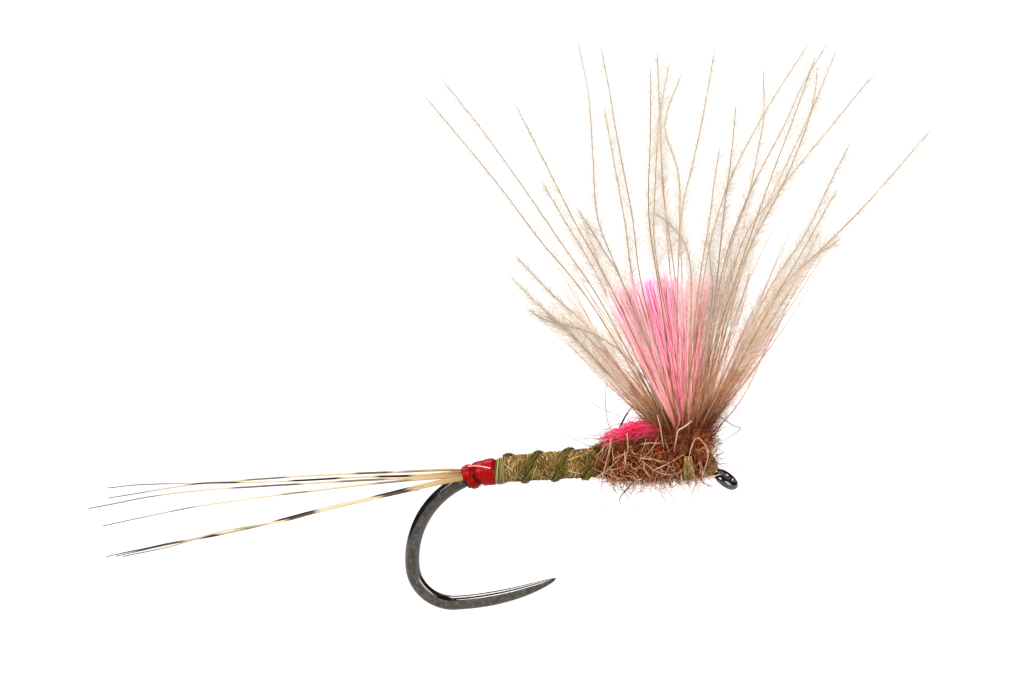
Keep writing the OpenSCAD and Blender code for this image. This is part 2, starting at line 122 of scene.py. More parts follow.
def wander(rng, paths, amount, waves=1.0, hold=0.0):
    """Smooth random sideways drift that grows from nothing at each strand's root."""
    strands, points, _ = paths.shape
    s = np.linspace(0, 1, points)
    grow = np.clip((s - hold) / max(1 - hold, 1e-6), 0, 1) ** 0.8
    out = paths.copy()
    amount = np.broadcast_to(np.asarray(amount, float), (strands,))
    for octave in (1.0, 2.1, 3.7):
        size = rng.normal(size=(strands, 1, 3)) / octave
        phase = rng.random((strands, 1, 3))
        angle = 2 * np.pi * (octave * waves * s[None, :, None] * 0.5 + phase)
        shift = size * (np.sin(angle) - np.sin(2 * np.pi * phase))
        out += shift * grow[None, :, None] * amount[:, None, None] * 0.5
    return out


def taper(start, end, points):
    """Radii that fall evenly along every strand."""
    return np.linspace(start, end, points)[None]


def some_tones(rng, middle, scatter, count):
    """A random tone for each strand, from 0 to 1."""
    return np.clip(rng.normal(middle, scatter, count), 0, 1)


def hoops(x, r, z, turn):
    """One grid of rings round a line along X: r is (ring, side), x and z have one value a ring."""
    across = np.broadcast_to(x[:, None], r.shape)
    return np.stack([across, r * np.sin(turn), z[:, None] + r * np.cos(turn)], -1)[None, :, ::-1]


# ---- meshes ----
class Piece:
    """Collects strands and skins and writes them as one mesh."""

    def __init__(self, name, slot, material, stands_for=(), smooth=True):
        self.name, self.slot_name, self.material = name, slot, material
        self.stands_for, self.smooth = stands_for, smooth
        self.verts, self.along, self.tone, self.polys, self.count = [], [], [], {}, 0

    def grid(self, rings, along, tone, closed_ends=True):
        """rings has the shape (strand, ring, side, 3); along and tone broadcast to (strand, ring)."""
        strands, n, sides, _ = rings.shape
        along = np.broadcast_to(along, (strands, n))
        tone = np.broadcast_to(tone, (strands, n))
        self.verts.append(rings.reshape(-1, 3))
        self.along.append(np.repeat(along.reshape(-1), sides))
        self.tone.append(np.repeat(tone.reshape(-1), sides))
        base = self.count + (np.arange(strands) * n * sides)[:, None, None]
        k = (np.arange(n - 1) * sides)[None, :, None]
        j = np.arange(sides)[None, None, :]
        nxt = (j + 1) % sides
        quads = np.stack([base + k + j, base + k + nxt, base + k + sides + nxt, base + k + sides + j], -1)
        self.polys.setdefault(4, []).append(quads.reshape(-1, 4))
        if closed_ends:
            first = base[:, 0] + np.arange(sides)[::-1]
            last = base[:, 0] + (n - 1) * sides + np.arange(sides)
            self.polys.setdefault(sides, []).append(np.concatenate([first, last]))
        self.count += strands * n * sides

    def strands(self, paths, radii, tone, along=None, sides=3):
        """Round strands: paths (strand, point, 3), radii that broadcast to (strand, point)."""
        paths = np.asarray(paths, float)
        strands, n, _ = paths.shape
        radii = np.broadcast_to(radii, (strands, n))
        _, a, b = carried(paths)
        if sides == 2:
            half = a * radii[..., None]
            self.ribbons(np.stack([paths - half, paths + half], 2), tone, along)
            return
        turn = 2 * np.pi * np.arange(sides) / sides
        ring = a[:, :, None] * np.cos(turn)[:, None] + b[:, :, None] * np.sin(turn)[:, None]
        if along is None:
            along = np.linspace(0, 1, n)[None]
        tone = np.asarray(tone, float)
        if tone.ndim == 1:
            tone = tone[:, None]
        self.grid(paths[:, :, None] + ring * radii[:, :, None, None], along, tone)

    def ribbons(self, edges, tone, along=None):
        """Flat strips, as barbules are: edges has the shape (strip, point, 2, 3)."""
        strips, n = edges.shape[:2]
        tone = np.asarray(tone, float)
        tone = tone[:, None] if tone.ndim == 1 else tone
        along = np.linspace(0, 1, n)[None] if along is None else along
        self.verts.append(edges.reshape(-1, 3))
        self.along.append(np.repeat(np.broadcast_to(along, (strips, n)).reshape(-1), 2))
        self.tone.append(np.repeat(np.broadcast_to(tone, (strips, n)).reshape(-1), 2))
        k = self.count + (np.arange(strips) * n * 2)[:, None] + (np.arange(n - 1) * 2)[None]
        self.polys.setdefault(4, []).append(np.stack([k, k + 1, k + 3, k + 2], -1).reshape(-1, 4))
        self.count += strips * n * 2

    def write(self):
        verts = np.concatenate(self.verts)
        along, tone = np.concatenate(self.along), np.clip(np.concatenate(self.tone), 0, 0.999)
        mesh = bpy.data.meshes.new(self.name)
        mesh.vertices.add(len(verts))
        mesh.vertices.foreach_set("co", (verts * MM).astype(np.float32).ravel())
        loops, starts, totals, at = [], [], [], 0
        for sides, groups in sorted(self.polys.items()):
            faces = np.concatenate(groups)
            loops.append(faces.ravel())
            starts.append(at + np.arange(len(faces)) * sides)
            totals.append(np.full(len(faces), sides))
            at += faces.size
        loops = np.concatenate(loops).astype(np.int32)
        mesh.loops.add(len(loops))
        mesh.loops.foreach_set("vertex_index", loops)
        starts, totals = np.concatenate(starts), np.concatenate(totals)
        mesh.polygons.add(len(starts))
        mesh.polygons.foreach_set("loop_start", starts.astype(np.int32))
        mesh.polygons.foreach_set("loop_total", totals.astype(np.int32))
        mesh.polygons.foreach_set("use_smooth", np.full(len(starts), self.smooth))
        for label, values in (("along", along), ("tone", tone)):
            mesh.attributes.new(label, "FLOAT", "POINT").data.foreach_set("value", values.astype(np.float32))
        # a map over (along, tone), which is what the colours follow
        chart = np.stack([0.02 + 0.96 * along[loops], 0.02 + 0.96 * tone[loops]], -1)
        mesh.uv_layers.new(name="OFBake").data.foreach_set("uv", chart.astype(np.float32).ravel())
        mesh.update(calc_edges=True)
        mesh.validate()
        piece = bpy.data.objects.new(self.name, mesh)
        bpy.context.scene.collection.objects.link(piece)
        mesh.materials.append(self.material)
        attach(piece, "root")
        if self.stands_for:
            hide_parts(*self.stands_for)
        return piece


# ---- materials ----
def shade(code):
    """Linear colour from a six-digit web colour."""
    values = [int(code[k : k + 2], 16) / 255 for k in (0, 2, 4)]
    return (*[v / 12.92 if v <= 0.04045 else ((v + 0.055) / 1.055) ** 2.4 for v in values], 1.0)


class Finish:
    """Builds one procedural material."""

    def __init__(self, name, roughness=0.5, **sockets):
        self.mat = bpy.data.materials.new(name)
        self.mat.use_nodes = True
        self.tree = self.mat.node_tree
        self.bsdf = self.tree.nodes["Principled BSDF"]
        self.bsdf.inputs["Roughness"].default_value = roughness
        self.bsdf.inputs["Specular IOR Level"].default_value = 0.1
        for label, value in sockets.items():
            self.bsdf.inputs[label.replace("_", " ")].default_value = value

    def node(self, kind, **settings):
        made = self.tree.nodes.new(kind)
        for key, value in settings.items():
            setattr(made, key, value)
        return made

    def link(self, a, b):
        self.tree.links.new(a, b)

    def attribute(self, label):
        return self.node("ShaderNodeAttribute", attribute_name=label).outputs["Fac"]

    def noise(self, scale, detail=4.0, roughness=0.6, stretch=None):
        coords = self.node("ShaderNodeTexCoord").outputs["Object"]
        if stretch is not None:
            mapping = self.node("ShaderNodeMapping")
            mapping.inputs["Scale"].default_value = stretch
            self.link(coords, mapping.inputs["Vector"])
            coords = mapping.outputs["Vector"]
        made = self.node("ShaderNodeTexNoise")
        self.link(coords, made.inputs["Vector"])
        made.inputs["Scale"].default_value = scale
        made.inputs["Detail"].default_value = detail
        made.inputs["Roughness"].default_value = roughness
        return made.outputs["Fac"]

    def ramp(self, factor, stops, interpolation="LINEAR"):
        made = self.node("ShaderNodeValToRGB")
        ramp = made.color_ramp
        ramp.interpolation = interpolation
        for _ in range(len(stops) - 2):
            ramp.elements.new(0.5)
        for element, (at, colour) in zip(ramp.elements, stops):
            element.position = at
            element.color = shade(colour) if isinstance(colour, str) else (colour, colour, colour, 1)
        self.link(factor, made.inputs["Fac"])
        return made.outputs["Color"]

    def mix(self, a, b, factor, blend="MIX"):
        made = self.node("ShaderNodeMix", data_type="RGBA", blend_type=blend)
        for value, socket in ((factor, made.inputs[0]), (a, made.inputs[6]), (b, made.inputs[7])):
            if hasattr(value, "is_linked") or hasattr(value, "links"):
                self.link(value, socket)
            else:
                socket.default_value = value
        return made.outputs[2]

    def base(self, colour):
        self.link(colour, self.bsdf.inputs["Base Color"])
        return self

    def bump(self, height, strength, distance):
        made = self.node("ShaderNodeBump")
        made.inputs["Strength"].default_value = strength
        made.inputs["Distance"].default_value = distance
        self.link(height, made.inputs["Height"])
        self.link(made.outputs["Normal"], self.bsdf.inputs["Normal"])
        return self


def tone_finish(name, tones, along, roughness=0.5, grain=1500.0, grain_share=0.25, **sockets):
    """Colour picked by each strand's tone, times a shade along it, times a fine grain."""
    f = Finish(name, roughness, **sockets)
    colour = f.ramp(f.attribute("tone"), tones)
    colour = f.mix(colour, f.ramp(f.attribute("along"), along), 1.0, "MULTIPLY")
    mottle = f.ramp(f.noise(grain), [(0.3, 0.55), (0.7, 1.0)])
    return f.base(f.mix(colour, mottle, grain_share, "MULTIPLY")).mat


# ---- hook ----
def hook_material():
    f = Finish("hook_steel", 0.3, Specular_IOR_Level=0.25)
    geometry = f.node("ShaderNodeNewGeometry")
    split = f.node("ShaderNodeSeparateXYZ")
    f.link(geometry.outputs["Normal"], split.inputs[0])
    size = f.node("ShaderNodeMath", operation="ABSOLUTE")
    f.link(split.outputs["Y"], size.inputs[0])
    flat = f.ramp(size.outputs[0], [(0.92, 0.0), (0.97, 1.0)])
    grit = f.noise(4200.0, 7.0, 0.72)
    matt = f.ramp(grit, [(0.3, "211E1B"), (0.5, "3A3530"), (0.72, "60584F")])
    nickel = f.ramp(grit, [(0.3, "4E4B49"), (0.75, "62605E")])
    f.base(f.mix(nickel, matt, flat))
    f.link(f.ramp(flat, [(0.0, 1.0), (1.0, 0.0)]), f.bsdf.inputs["Metallic"])
    rough = f.mix((0.14,) * 3 + (1,), (0.6,) * 3 + (1,), flat)
    f.link(rough, f.bsdf.inputs["Roughness"])
    f.bump(grit, 0.2, 0.00001)
    return f.mat


def arc(cx, cz, r, a0, a1, n):
    a = np.radians(np.linspace(a0, a1, n))
    return np.stack([cx + r * np.cos(a), 0 * a, cz + r * np.sin(a)], -1)


def make_hook():
    piece = Piece("hook_wire", "hook_steel", hook_material(), ["hook"])
    neck = EYE_BACK * np.linspace(0.36, 1.182, 14)[:, None]
    turn = arc(SHANK_FRONT_X, 0.3, 0.6, 50, 90, 9)[1:]
    shank = np.stack([np.linspace(SHANK_FRONT_X, -10, 60), np.zeros(60), np.full(60, SHANK_Z)], -1)[1:]
    upper = arc(-10, SHANK_Z - BEND_R, BEND_R, 90, 180, 70)[1:]
    heel = arc(-10 - BEND_R + HEEL_R, SHANK_Z - BEND_R, HEEL_R, 180, 270, 50)[1:]
    spear = arc(-10 - BEND_R + HEEL_R, SHANK_Z - BEND_R - HEEL_R + 12, 12, 270, 292.5, 90)[1:]
    path = np.concatenate([neck, turn, shank, upper, heel, spear])
    part = np.concatenate([np.full(len(p), k) for k, p in enumerate([neck, turn, shank, upper, heel, spear])])
    n = len(path)
    r = np.full(n, SHANK_R)
    flat = np.full(n, 1.0)  # half thickness across Y as a share of the radius
    grow = np.linspace(0, 1, len(neck))
    r[part == 0] = EYE_WIRE_R * 1.0 + (SHANK_R - EYE_WIRE_R) * np.clip((grow - 0.12) / 0.6, 0, 1) ** 0.8
    ease = np.clip(np.linspace(0, 6, (part == 3).sum()), 0, 1)
    r[part == 3] = SHANK_R + (FORGED_R - SHANK_R) * ease
    flat[part == 3] = 1 - 0.16 * ease
    r[part == 4] = FORGED_R
    s = np.linspace(1 / 89, 1, (part == 5).sum())
    fine = np.where(s > 0.3, np.sqrt(np.clip(1 - ((s - 0.3) / 0.7) ** 1.6, 0, 1)), 1)
    r[part == 5] = np.maximum(FORGED_R * 0.985 * fine, 0.015)
    flat[part >= 4] = 0.84
    flat[part == 5] = 0.84 + 0.16 * np.clip((s - 0.75) / 0.25, 0, 1)
    heading = unit(np.gradient(path, axis=0))
    out = np.cross(heading, Y_AXIS)
    turn_by = 2 * np.pi * np.arange(40) / 40
    u = np.cos(turn_by)[None] * r[:, None]
    v = np.sin(turn_by)[None] * r[:, None]
    limit = (flat * r)[:, None]
    soft = v / (1 + np.abs(v / limit) ** 14) ** (1 / 14)
    v = np.where(flat[:, None] < 0.999, soft, v)
    twist = np.zeros(n)  # the flats of the upper bend face slightly inwards on the near side
    twist[part == 3] = FLAT_TWIST * ease * np.clip(np.linspace(2.6, 0, (part == 3).sum()), 0, 1)
    twist = np.radians(twist)[:, None]
    u, v = u * np.cos(twist) - v * np.sin(twist), v * np.cos(twist) + u * np.sin(twist)
    rings = path[:, None] + out[:, None] * u[..., None] + Y_AXIS * v[..., None]
    piece.grid(rings[None, :, ::-1], np.linspace(0, 1, n)[None], 0.5)
    around = np.linspace(0, 2 * np.pi, 97)
    circle = EYE_R * (np.cos(around)[:, None] * EYE_BACK + np.sin(around)[:, None] * Y_AXIS)
    outward = unit(circle)
    wire = outward[:, None] * (np.cos(turn_by)[None, :, None] * EYE_WIRE_R)
    wire = wire + EYE_AXIS * (np.sin(turn_by)[None, :, None] * EYE_WIRE_R)
    piece.grid((circle[:, None] + wire)[None], np.linspace(0, 1, 97)[None], 0.5, closed_ends=False)
    return piece.write()


# ---- thread ----
THREAD_MAT = tone_finish(
    "olive_thread",
    [(0.0, "2A220A"), (0.35, "5E5220"), (0.7, "988A46"), (1.0, "C6B272")],
    [(0.0, 1.0), (1.0, 1.0)],
    roughness=0.42,
    grain=6000.0,
    grain_share=0.4,
    Sheen_Weight=0.2,
)


def coil(x0, x1, pitch, radius, height, steps=22, slant=0.0):
    """A helix round a line along X: one strand of points. radius and height take x."""
    turns = abs(x1 - x0) / pitch
    a = np.linspace(0, 2 * np.pi * turns, max(int(turns * steps), 8))
    x = np.linspace(x0, x1, len(a))
    r = radius(x) if callable(radius) else np.full(len(x), float(radius))
    z = height(x) if callable(height) else np.full(len(x), float(height))
    return np.stack([x + slant * np.cos(a), r * np.sin(a), z + r * np.cos(a)], -1)


def thread_piece(name, stands_for, paths, width, seed, tones=(0.3, 0.7)):
    rng = np.random.default_rng(seed)
    piece = Piece(name, "olive_thread", THREAD_MAT, stands_for)
    for path in paths:
        wave = 0.5 + 0.5 * np.sin(np.linspace(0, len(path) / 9.0, len(path)) + rng.random() * 6)
        tone = tones[0] + (tones[1] - tones[0]) * (0.6 * wave + 0.4 * rng.random())
        piece.strands(path[None], width / 2, tone[None], sides=6)
    return piece.write()


def make_threads():
    straight = coil(-1.4, -10.0, 0.085, UNDER_R - 0.04, SHANK_Z)
    angles = np.linspace(0, 20.4, 40 * 22)
    spin = np.linspace(0, 2 * np.pi * 40 * 0.55, len(angles))
    lap = UNDER_R - 0.04
    round_bend = (
        bend_mid(angles)
        + lap * np.cos(spin)[:, None] * bend_up(angles)
        + lap * np.sin(spin)[:, None] * Y_AXIS
    )
    thread_piece("thread_base", ["thread_underbody"], [straight, round_bend], 0.085, 1)
    collar = []
    for k in range(11):
        x = -10.12 + 0.048 * k
        swell = 0.52 + 0.05 * math.sin((x + 10.15) / 0.5 * math.pi) + 0.014 * (k % 3)
        slant = 0.07 + 0.03 * (k % 2)
        collar.append(coil(x, x + 0.002, 0.002, swell, SHANK_Z + 0.04, steps=44, slant=slant))
    thread_piece("collar_turns", ["rear_collar"], collar, 0.055, 2, (0.0, 0.85))
    wraps = coil(-2.38, -1.33, 0.09, UNDER_R + 0.05, SHANK_Z)
    thread_piece("tie_in_turns", ["wing_tie_in"], [wraps], 0.085, 3)
    up = coil(0.17, 0.53, 0.075, 0.60, 0.0)
    post = WING_ROOT + np.stack([up[:, 2], up[:, 1], up[:, 0]], -1)
    thread_piece("post_turns", ["post_wraps"], [post], 0.08, 4)


def head_radius(g):
    """Radius of the thread head at g, from 0 at its rear to 1 at the eye."""
    return 0.54 * (1 - g) ** 0.8 + 0.27 * g**0.6


def head_rings(grow, start, end, count, sides):
    turn = 2 * np.pi * np.arange(sides) / sides
    rings = []
    for g in np.linspace(start, end, count):
        r = head_radius(g) + grow
        rings.append(
            EYE_BACK * (HEAD_REAR + (HEAD_FRONT - HEAD_REAR) * g)
            + EYE_AXIS * (r * np.cos(turn))[:, None]
            + Y_AXIS * (r * np.sin(turn))[:, None]
        )
    return np.array(rings)[None, :, ::-1]


def make_head():
    turns, steps = 11, 30
    a = np.linspace(0, 2 * np.pi * turns, turns * steps)
    g = np.linspace(0, 1, len(a))
    r = head_radius(g) - 0.03
    path = (
        EYE_BACK * (HEAD_REAR + (HEAD_FRONT - HEAD_REAR) * g)[:, None]
        + EYE_AXIS * (r * np.cos(a))[:, None]
        + Y_AXIS * (r * np.sin(a))[:, None]
    )
    piece = Piece("head_turns", "olive_thread", THREAD_MAT, ["thread_head"])
    piece.strands(path[None], 0.036, (0.5 + 0.3 * np.sin(a * 0.37))[None], sides=8)
    piece.grid(head_rings(-0.05, 0, 1, 16, 32), np.linspace(0, 1, 16)[None], 0.25)
    piece.write()
    f = Finish("varnish", 0.08, IOR=1.5, Alpha=0.3, Coat_Weight=1.0)
    f.base(f.ramp(f.noise(2500.0), [(0.3, "3A3318"), (0.7, "6A6030")]))
    shell = Piece("head_gloss", "varnish", f.mat, ["head_varnish"])
    shell.grid(head_rings(0.015, 0.3, 0.98, 14, 40), np.linspace(0, 1, 14)[None], 0.5)
    shell.write()


# ---- tail ----
# Places in millimetres on each tail fibre, from root to tip. This table was printed by a scratch
# program from points picked on the photograph, at depths that are guessed; four of its heights were
# changed by hand.
TAIL_ROWS = [
    [(-11.72, 0.45, 0.92), (-12.71, 0.58, 0.93), (-14.53, 0.71, 0.90), (-17.24, 0.84, 0.89),
     (-19.97, 0.98, 0.83),
     (-21.81, 1.11, 0.75), (-24.10, 1.24, 0.68), (-26.39, 1.37, 0.70), (-27.88, 1.50, 0.59)],
    [(-11.70, 0.30, 0.88), (-13.14, 0.34, 0.83), (-14.49, 0.38, 0.81), (-16.29, 0.41, 0.85),
     (-18.99, 0.45, 0.84),
     (-21.70, 0.49, 0.85), (-23.51, 0.52, 0.89), (-25.35, 0.56, 0.72), (-27.75, 0.60, 0.41)],
    [(-11.68, 0.10, 0.84), (-13.10, 0.04, 0.82), (-14.44, -0.02, 0.84), (-17.12, -0.09, 0.87),
     (-19.81, -0.15, 0.87),
     (-21.60, -0.21, 0.87), (-23.39, -0.27, 0.85), (-25.66, -0.34, 0.71), (-28.45, -0.40, 0.32)],
    [(-11.66, -0.10, 0.83), (-13.06, -0.27, 0.85), (-14.38, -0.45, 0.87), (-16.15, -0.62, 0.84),
     (-18.24, -0.80, 0.75),
     (-19.70, -0.98, 0.71), (-21.48, -1.15, 0.62), (-24.18, -1.32, 0.38), (-27.68, -1.50, -0.14)],
    [(-11.64, -0.25, 0.84), (-12.58, -0.58, 0.82), (-13.44, -0.91, 0.78), (-15.21, -1.24, 0.53),
     (-17.89, -1.57, 0.13),
     (-19.66, -1.91, -0.14), (-21.43, -2.24, -0.38), (-25.02, -2.57, -0.81), (-27.42, -2.90, -1.09)],
    [(-11.63, -0.35, 0.81), (-12.57, -0.69, 0.81), (-13.43, -1.04, 0.75), (-15.19, -1.38, 0.53),
     (-17.87, -1.73, 0.14),
     (-19.64, -2.07, -0.13), (-21.40, -2.41, -0.37), (-24.98, -2.76, -0.79), (-26.93, -3.10, -1.05)],
    [(-11.62, -0.42, 0.78), (-12.56, -0.79, 0.78), (-13.41, -1.15, 0.74), (-15.17, -1.52, 0.54),
     (-17.84, -1.88, 0.17),
     (-19.61, -2.25, -0.10), (-22.17, -2.62, -0.29), (-24.49, -2.98, -0.72), (-26.52, -3.35, -0.94)],
]
# where each barb is dark, as shares of its free length, and how dark
TAIL_BARS = [
    [(0.10, 0.17, 0.45), (0.20, 0.30, 0.85), (0.49, 0.61, 0.8), (0.82, 1.0, 0.45)],
    [(0.14, 0.24, 1.0), (0.34, 0.48, 1.0), (0.62, 0.76, 1.0), (0.88, 0.98, 0.45)],
    [(0.20, 0.33, 0.7), (0.43, 0.61, 0.85), (0.81, 1.0, 0.5)],
    [(0.14, 0.24, 0.6), (0.42, 0.50, 0.6), (0.74, 0.81, 0.5), (0.88, 1.0, 0.25)],
    [(0.15, 0.25, 1.0), (0.41, 0.53, 1.0), (0.69, 0.75, 1.0), (0.79, 0.96, 0.9)],
    [(0.16, 0.26, 1.0), (0.42, 0.54, 1.0), (0.58, 0.63, 0.5), (0.70, 0.76, 1.0), (0.80, 0.95, 0.8)],
    [(0.15, 0.24, 0.9), (0.43, 0.52, 0.9), (0.57, 0.66, 0.4), (0.90, 1.0, 0.3)],
]


def tail_material(k):
    f = Finish("tail_hair_%d" % (k + 1), 0.5)
    along = f.attribute("along")
    buff = [(0.0, "8E6C42"), (0.06, "A2845A"), (0.16, "BCA480")]
    base = f.ramp(along, buff + [(0.6, "C6B292"), (0.85, "9C8C7A"), (1.0, "6A6058")])
    stops, edge = [(0.0, 0.0)], 0.012
    for start, end, depth in TAIL_BARS[k]:
        stops += [(start - edge, 0.0), (start + edge, depth)]
        stops += [(min(end - edge, 0.985), depth), (min(end + edge, 0.995), 0.0)]
    if TAIL_BARS[k][-1][1] >= 1.0:
        stops[-1] = (1.0, stops[-2][1])
    bars = f.ramp(along, stops)
    streak = f.ramp(f.noise(900.0, 3.0, 0.6), [(0.35, 0.8), (0.65, 1.0)])
    dark = f.ramp(f.noise(1200.0), [(0.3, "120803"), (0.7, "2A170C")])
    return f.base(f.mix(f.mix(base, streak, 0.6, "MULTIPLY"), dark, bars)).mat


def make_tail():
    lie_r = UNDER_R + 0.06
    for k, row in enumerate(TAIL_ROWS):
        rng = np.random.default_rng(20 + k)
        side = math.radians(54 * (1 - 2 * k / 6))
        b = np.array([0, 7, 14, 19.5])
        lie = bend_mid(b) + lie_r * (math.cos(side) * bend_up(b) + math.sin(side) * Y_AXIS)
        hidden, shown = through(np.concatenate([lie, row[:1]]), 14), through(row, 120)
        path = np.concatenate([hidden[:-1], shown])
        path = wander(rng, path[None], 0.02, 5.0, hold=0.15)[0]
        g = np.concatenate([np.zeros(13), np.linspace(0, 1, 120)])
        thick = 0.058 if k < 4 else 0.062
        r = thick - (thick - 0.024) * g**1.3 + 0.008 * np.exp(-((g - 0.05) / 0.06) ** 2)
        piece = Piece("tail_barb_%d" % (k + 1), "tail_hair", tail_material(k), ["tail_fibre_%d" % (k + 1)])
        piece.strands(path[None], r[None], 0.5, along=g[None], sides=8)
        # the short hairs that lie along the barb
        webs, at = barbules(rng, path[None, 13:], 0.07, 0.9, 110, 0.36, (5, 14), lie=0.95)
        piece.strands(webs, taper(0.008, 0.003, webs.shape[1]), 0.5, along=at[:, None], sides=3)
        if k in (0, 5, 6):
            low, high, size, n = (0.02, 0.06, 0.5, 20) if k == 0 else (0.10, 0.145, 0.62, 22)
            flag, _ = barbules(rng, path[None, 13:], low, high, n, size, (8, 30), lie=0.8)
            piece.strands(flag, taper(0.012, 0.005, flag.shape[1]), 0.5, along=0.04, sides=3)
        piece.write()


# ---- barbules: the fine side hairs of a feather fibre ----
def barbules(rng, stems, lo, hi, per_stem, length, angle, lie=0.5, fall=0.5, points=4):
    """Side hairs on stems (stem, point, 3), between the shares lo and hi of their length."""
    count = len(stems) * per_stem
    which = np.repeat(np.arange(len(stems)), per_stem)
    u = lo + (hi - lo) * rng.random(count)
    at = u * (stems.shape[1] - 1)
    i = np.minimum(at.astype(int), stems.shape[1] - 2)
    f = (at - i)[:, None]
    p = stems[which, i] * (1 - f) + stems[which, i + 1] * f
    h = unit(stems[which, i + 1] - stems[which, i])
    side = rng.normal(size=(count, 3))
    side = unit(side - (side * h).sum(-1, keepdims=True) * h)
    open_by = np.radians(rng.uniform(*angle, count))[:, None]
    d = h * np.cos(open_by) + side * np.sin(open_by)
    size = length * (1 - fall * (u - lo) / (hi - lo)) * rng.uniform(0.45, 1.15, count)
    s = np.linspace(0, 1, points)[None, :, None]
    curl = unit(rng.normal(size=(count, 3))) * 0.16
    end = h * lie + d * (1 - lie) + curl
    return p[:, None] + size[:, None, None] * (d[:, None] * s + (end - d)[:, None] * s * s * 0.5), u


# ---- red tag ----
def on_bend(run, spin, r):
    """Points run mm back from the tag's front edge, turned by spin from the top towards +Y."""
    b = TAG_FROM + np.degrees(run / BEND_R)
    up, over = (r * np.cos(spin))[..., None], (r * np.sin(spin))[..., None]
    return bend_mid(b) + up * bend_up(b) + over * Y_AXIS


def ribbon(piece, top, bottom, width, r, thick, tone, seed):
    """One slanted turn of flat floss: its middle runs from top to bottom of the wire and back."""
    rng = np.random.default_rng(seed)
    spin = np.linspace(0, 2 * np.pi, 73)
    middle = (top + bottom) / 2 + (top - bottom) / 2 * np.cos(spin)
    u = np.concatenate([np.linspace(0, 1, 34), np.linspace(1, 0, 12)[1:-1]])
    crown = np.where(np.arange(len(u)) < 34, 1.0, 0.0)
    ridges = 0.05 * np.interp(u, np.linspace(0, 1, 34), rng.normal(size=34))
    edge = (1 - np.abs(2 * u - 1) ** 3.5) * (1 + ridges)
    height = crown * thick * edge
    run = middle[:, None] + (u[None] - 0.5) * width
    rr = r + np.broadcast_to(height, run.shape)
    rr = rr + 0.006 * np.sin(3 * spin + seed)[:, None] * crown
    rings = on_bend(run, np.broadcast_to(spin[:, None], run.shape), rr)
    piece.grid(rings[None], np.linspace(0, 1, 73)[None], tone, closed_ends=False)


def make_tag():
    f = Finish("red_floss", 0.42, Specular_IOR_Level=0.05, Coat_Weight=0.06, Coat_Roughness=0.08)
    silk = f.noise(700.0, 5.0, 0.6, stretch=(3.0, 1.0, 1.0))
    reds = [(0.0, "160C08"), (0.3, "560204"), (0.55, "760204"), (1.0, "900305")]
    colour = f.ramp(f.attribute("tone"), reds)
    f.base(f.mix(colour, f.ramp(silk, [(0.3, 0.55), (0.65, 1.0)]), 0.55, "MULTIPLY"))
    piece = Piece("tag_floss", "red_floss", f.mat, ["red_tag"])
    ribbon(piece, 1.27, 1.12, 0.40, 0.470, 0.095, 0.95, 3)
    ribbon(piece, 0.74, 0.44, 0.60, 0.485, 0.090, 0.95, 5)
    ribbon(piece, 0.30, 0.27, 0.56, 0.495, 0.100, 0.9, 8)
    run = np.linspace(0.02, 1.44, 30)
    turn = 2 * np.pi * np.arange(48) / 48
    rings = on_bend(np.repeat(run[:, None], 48, 1), np.repeat(turn[None], 30, 0), 0.475)
    piece.grid(rings[None], np.linspace(0, 1, 30)[None], 0.0)
    rng = np.random.default_rng(33)
    n = 70
    spin = rng.uniform(-2.6, 0.3, n)
    run = rng.uniform(0.02, 1.3, n)
    s = np.linspace(0, 1, 7)[None]
    lift = 0.565 + 0.03 * np.sin(np.pi * s) * rng.random((n, 1))
    paths = on_bend(run[:, None] + 0.1 * s, spin[:, None] - 0.9 * s, lift)
    piece.strands(paths, 0.006, 0.9, sides=3)
    piece.write()


def make_tag_strand():
    f = Finish("pale_strand", 0.3, Coat_Weight=0.5)
    f.base(f.ramp(f.noise(1800.0), [(0.3, "E87C80"), (0.7, "F6B4B4")]))
    piece = Piece("tag_strand_pale", "pale_strand", f.mat, ["tag_strand"])
    s = np.linspace(0, 1, 50)
    path = on_bend(1.12 - 0.92 * s, -0.35 - 0.62 * s, 0.59 + 0.02 * np.sin(np.pi * s))
    piece.strands(path[None], 0.024, 0.5, sides=8)
    spin = np.linspace(-0.4, 1.55 * np.pi, 40)
    loop = on_bend(1.12 + 0.14 * np.cos(spin), -0.20 - 0.10 * np.sin(spin * 0.5), 0.60 + 0.07 * np.sin(spin))
    piece.strands(loop[None], 0.018, 0.5, sides=8)
    piece.write()


# ---- abdomen and rib ----
ABD_X0, ABD_X1 = -9.7, -5.3


def abd_s(x):
    return np.clip((x - ABD_X0) / (ABD_X1 - ABD_X0), 0, 1)


def abd_r(x):
    return 0.585 + 0.08 * abd_s(x)


def abd_z(x):
    return SHANK_Z + 0.12 + 0.10 * abd_s(x)


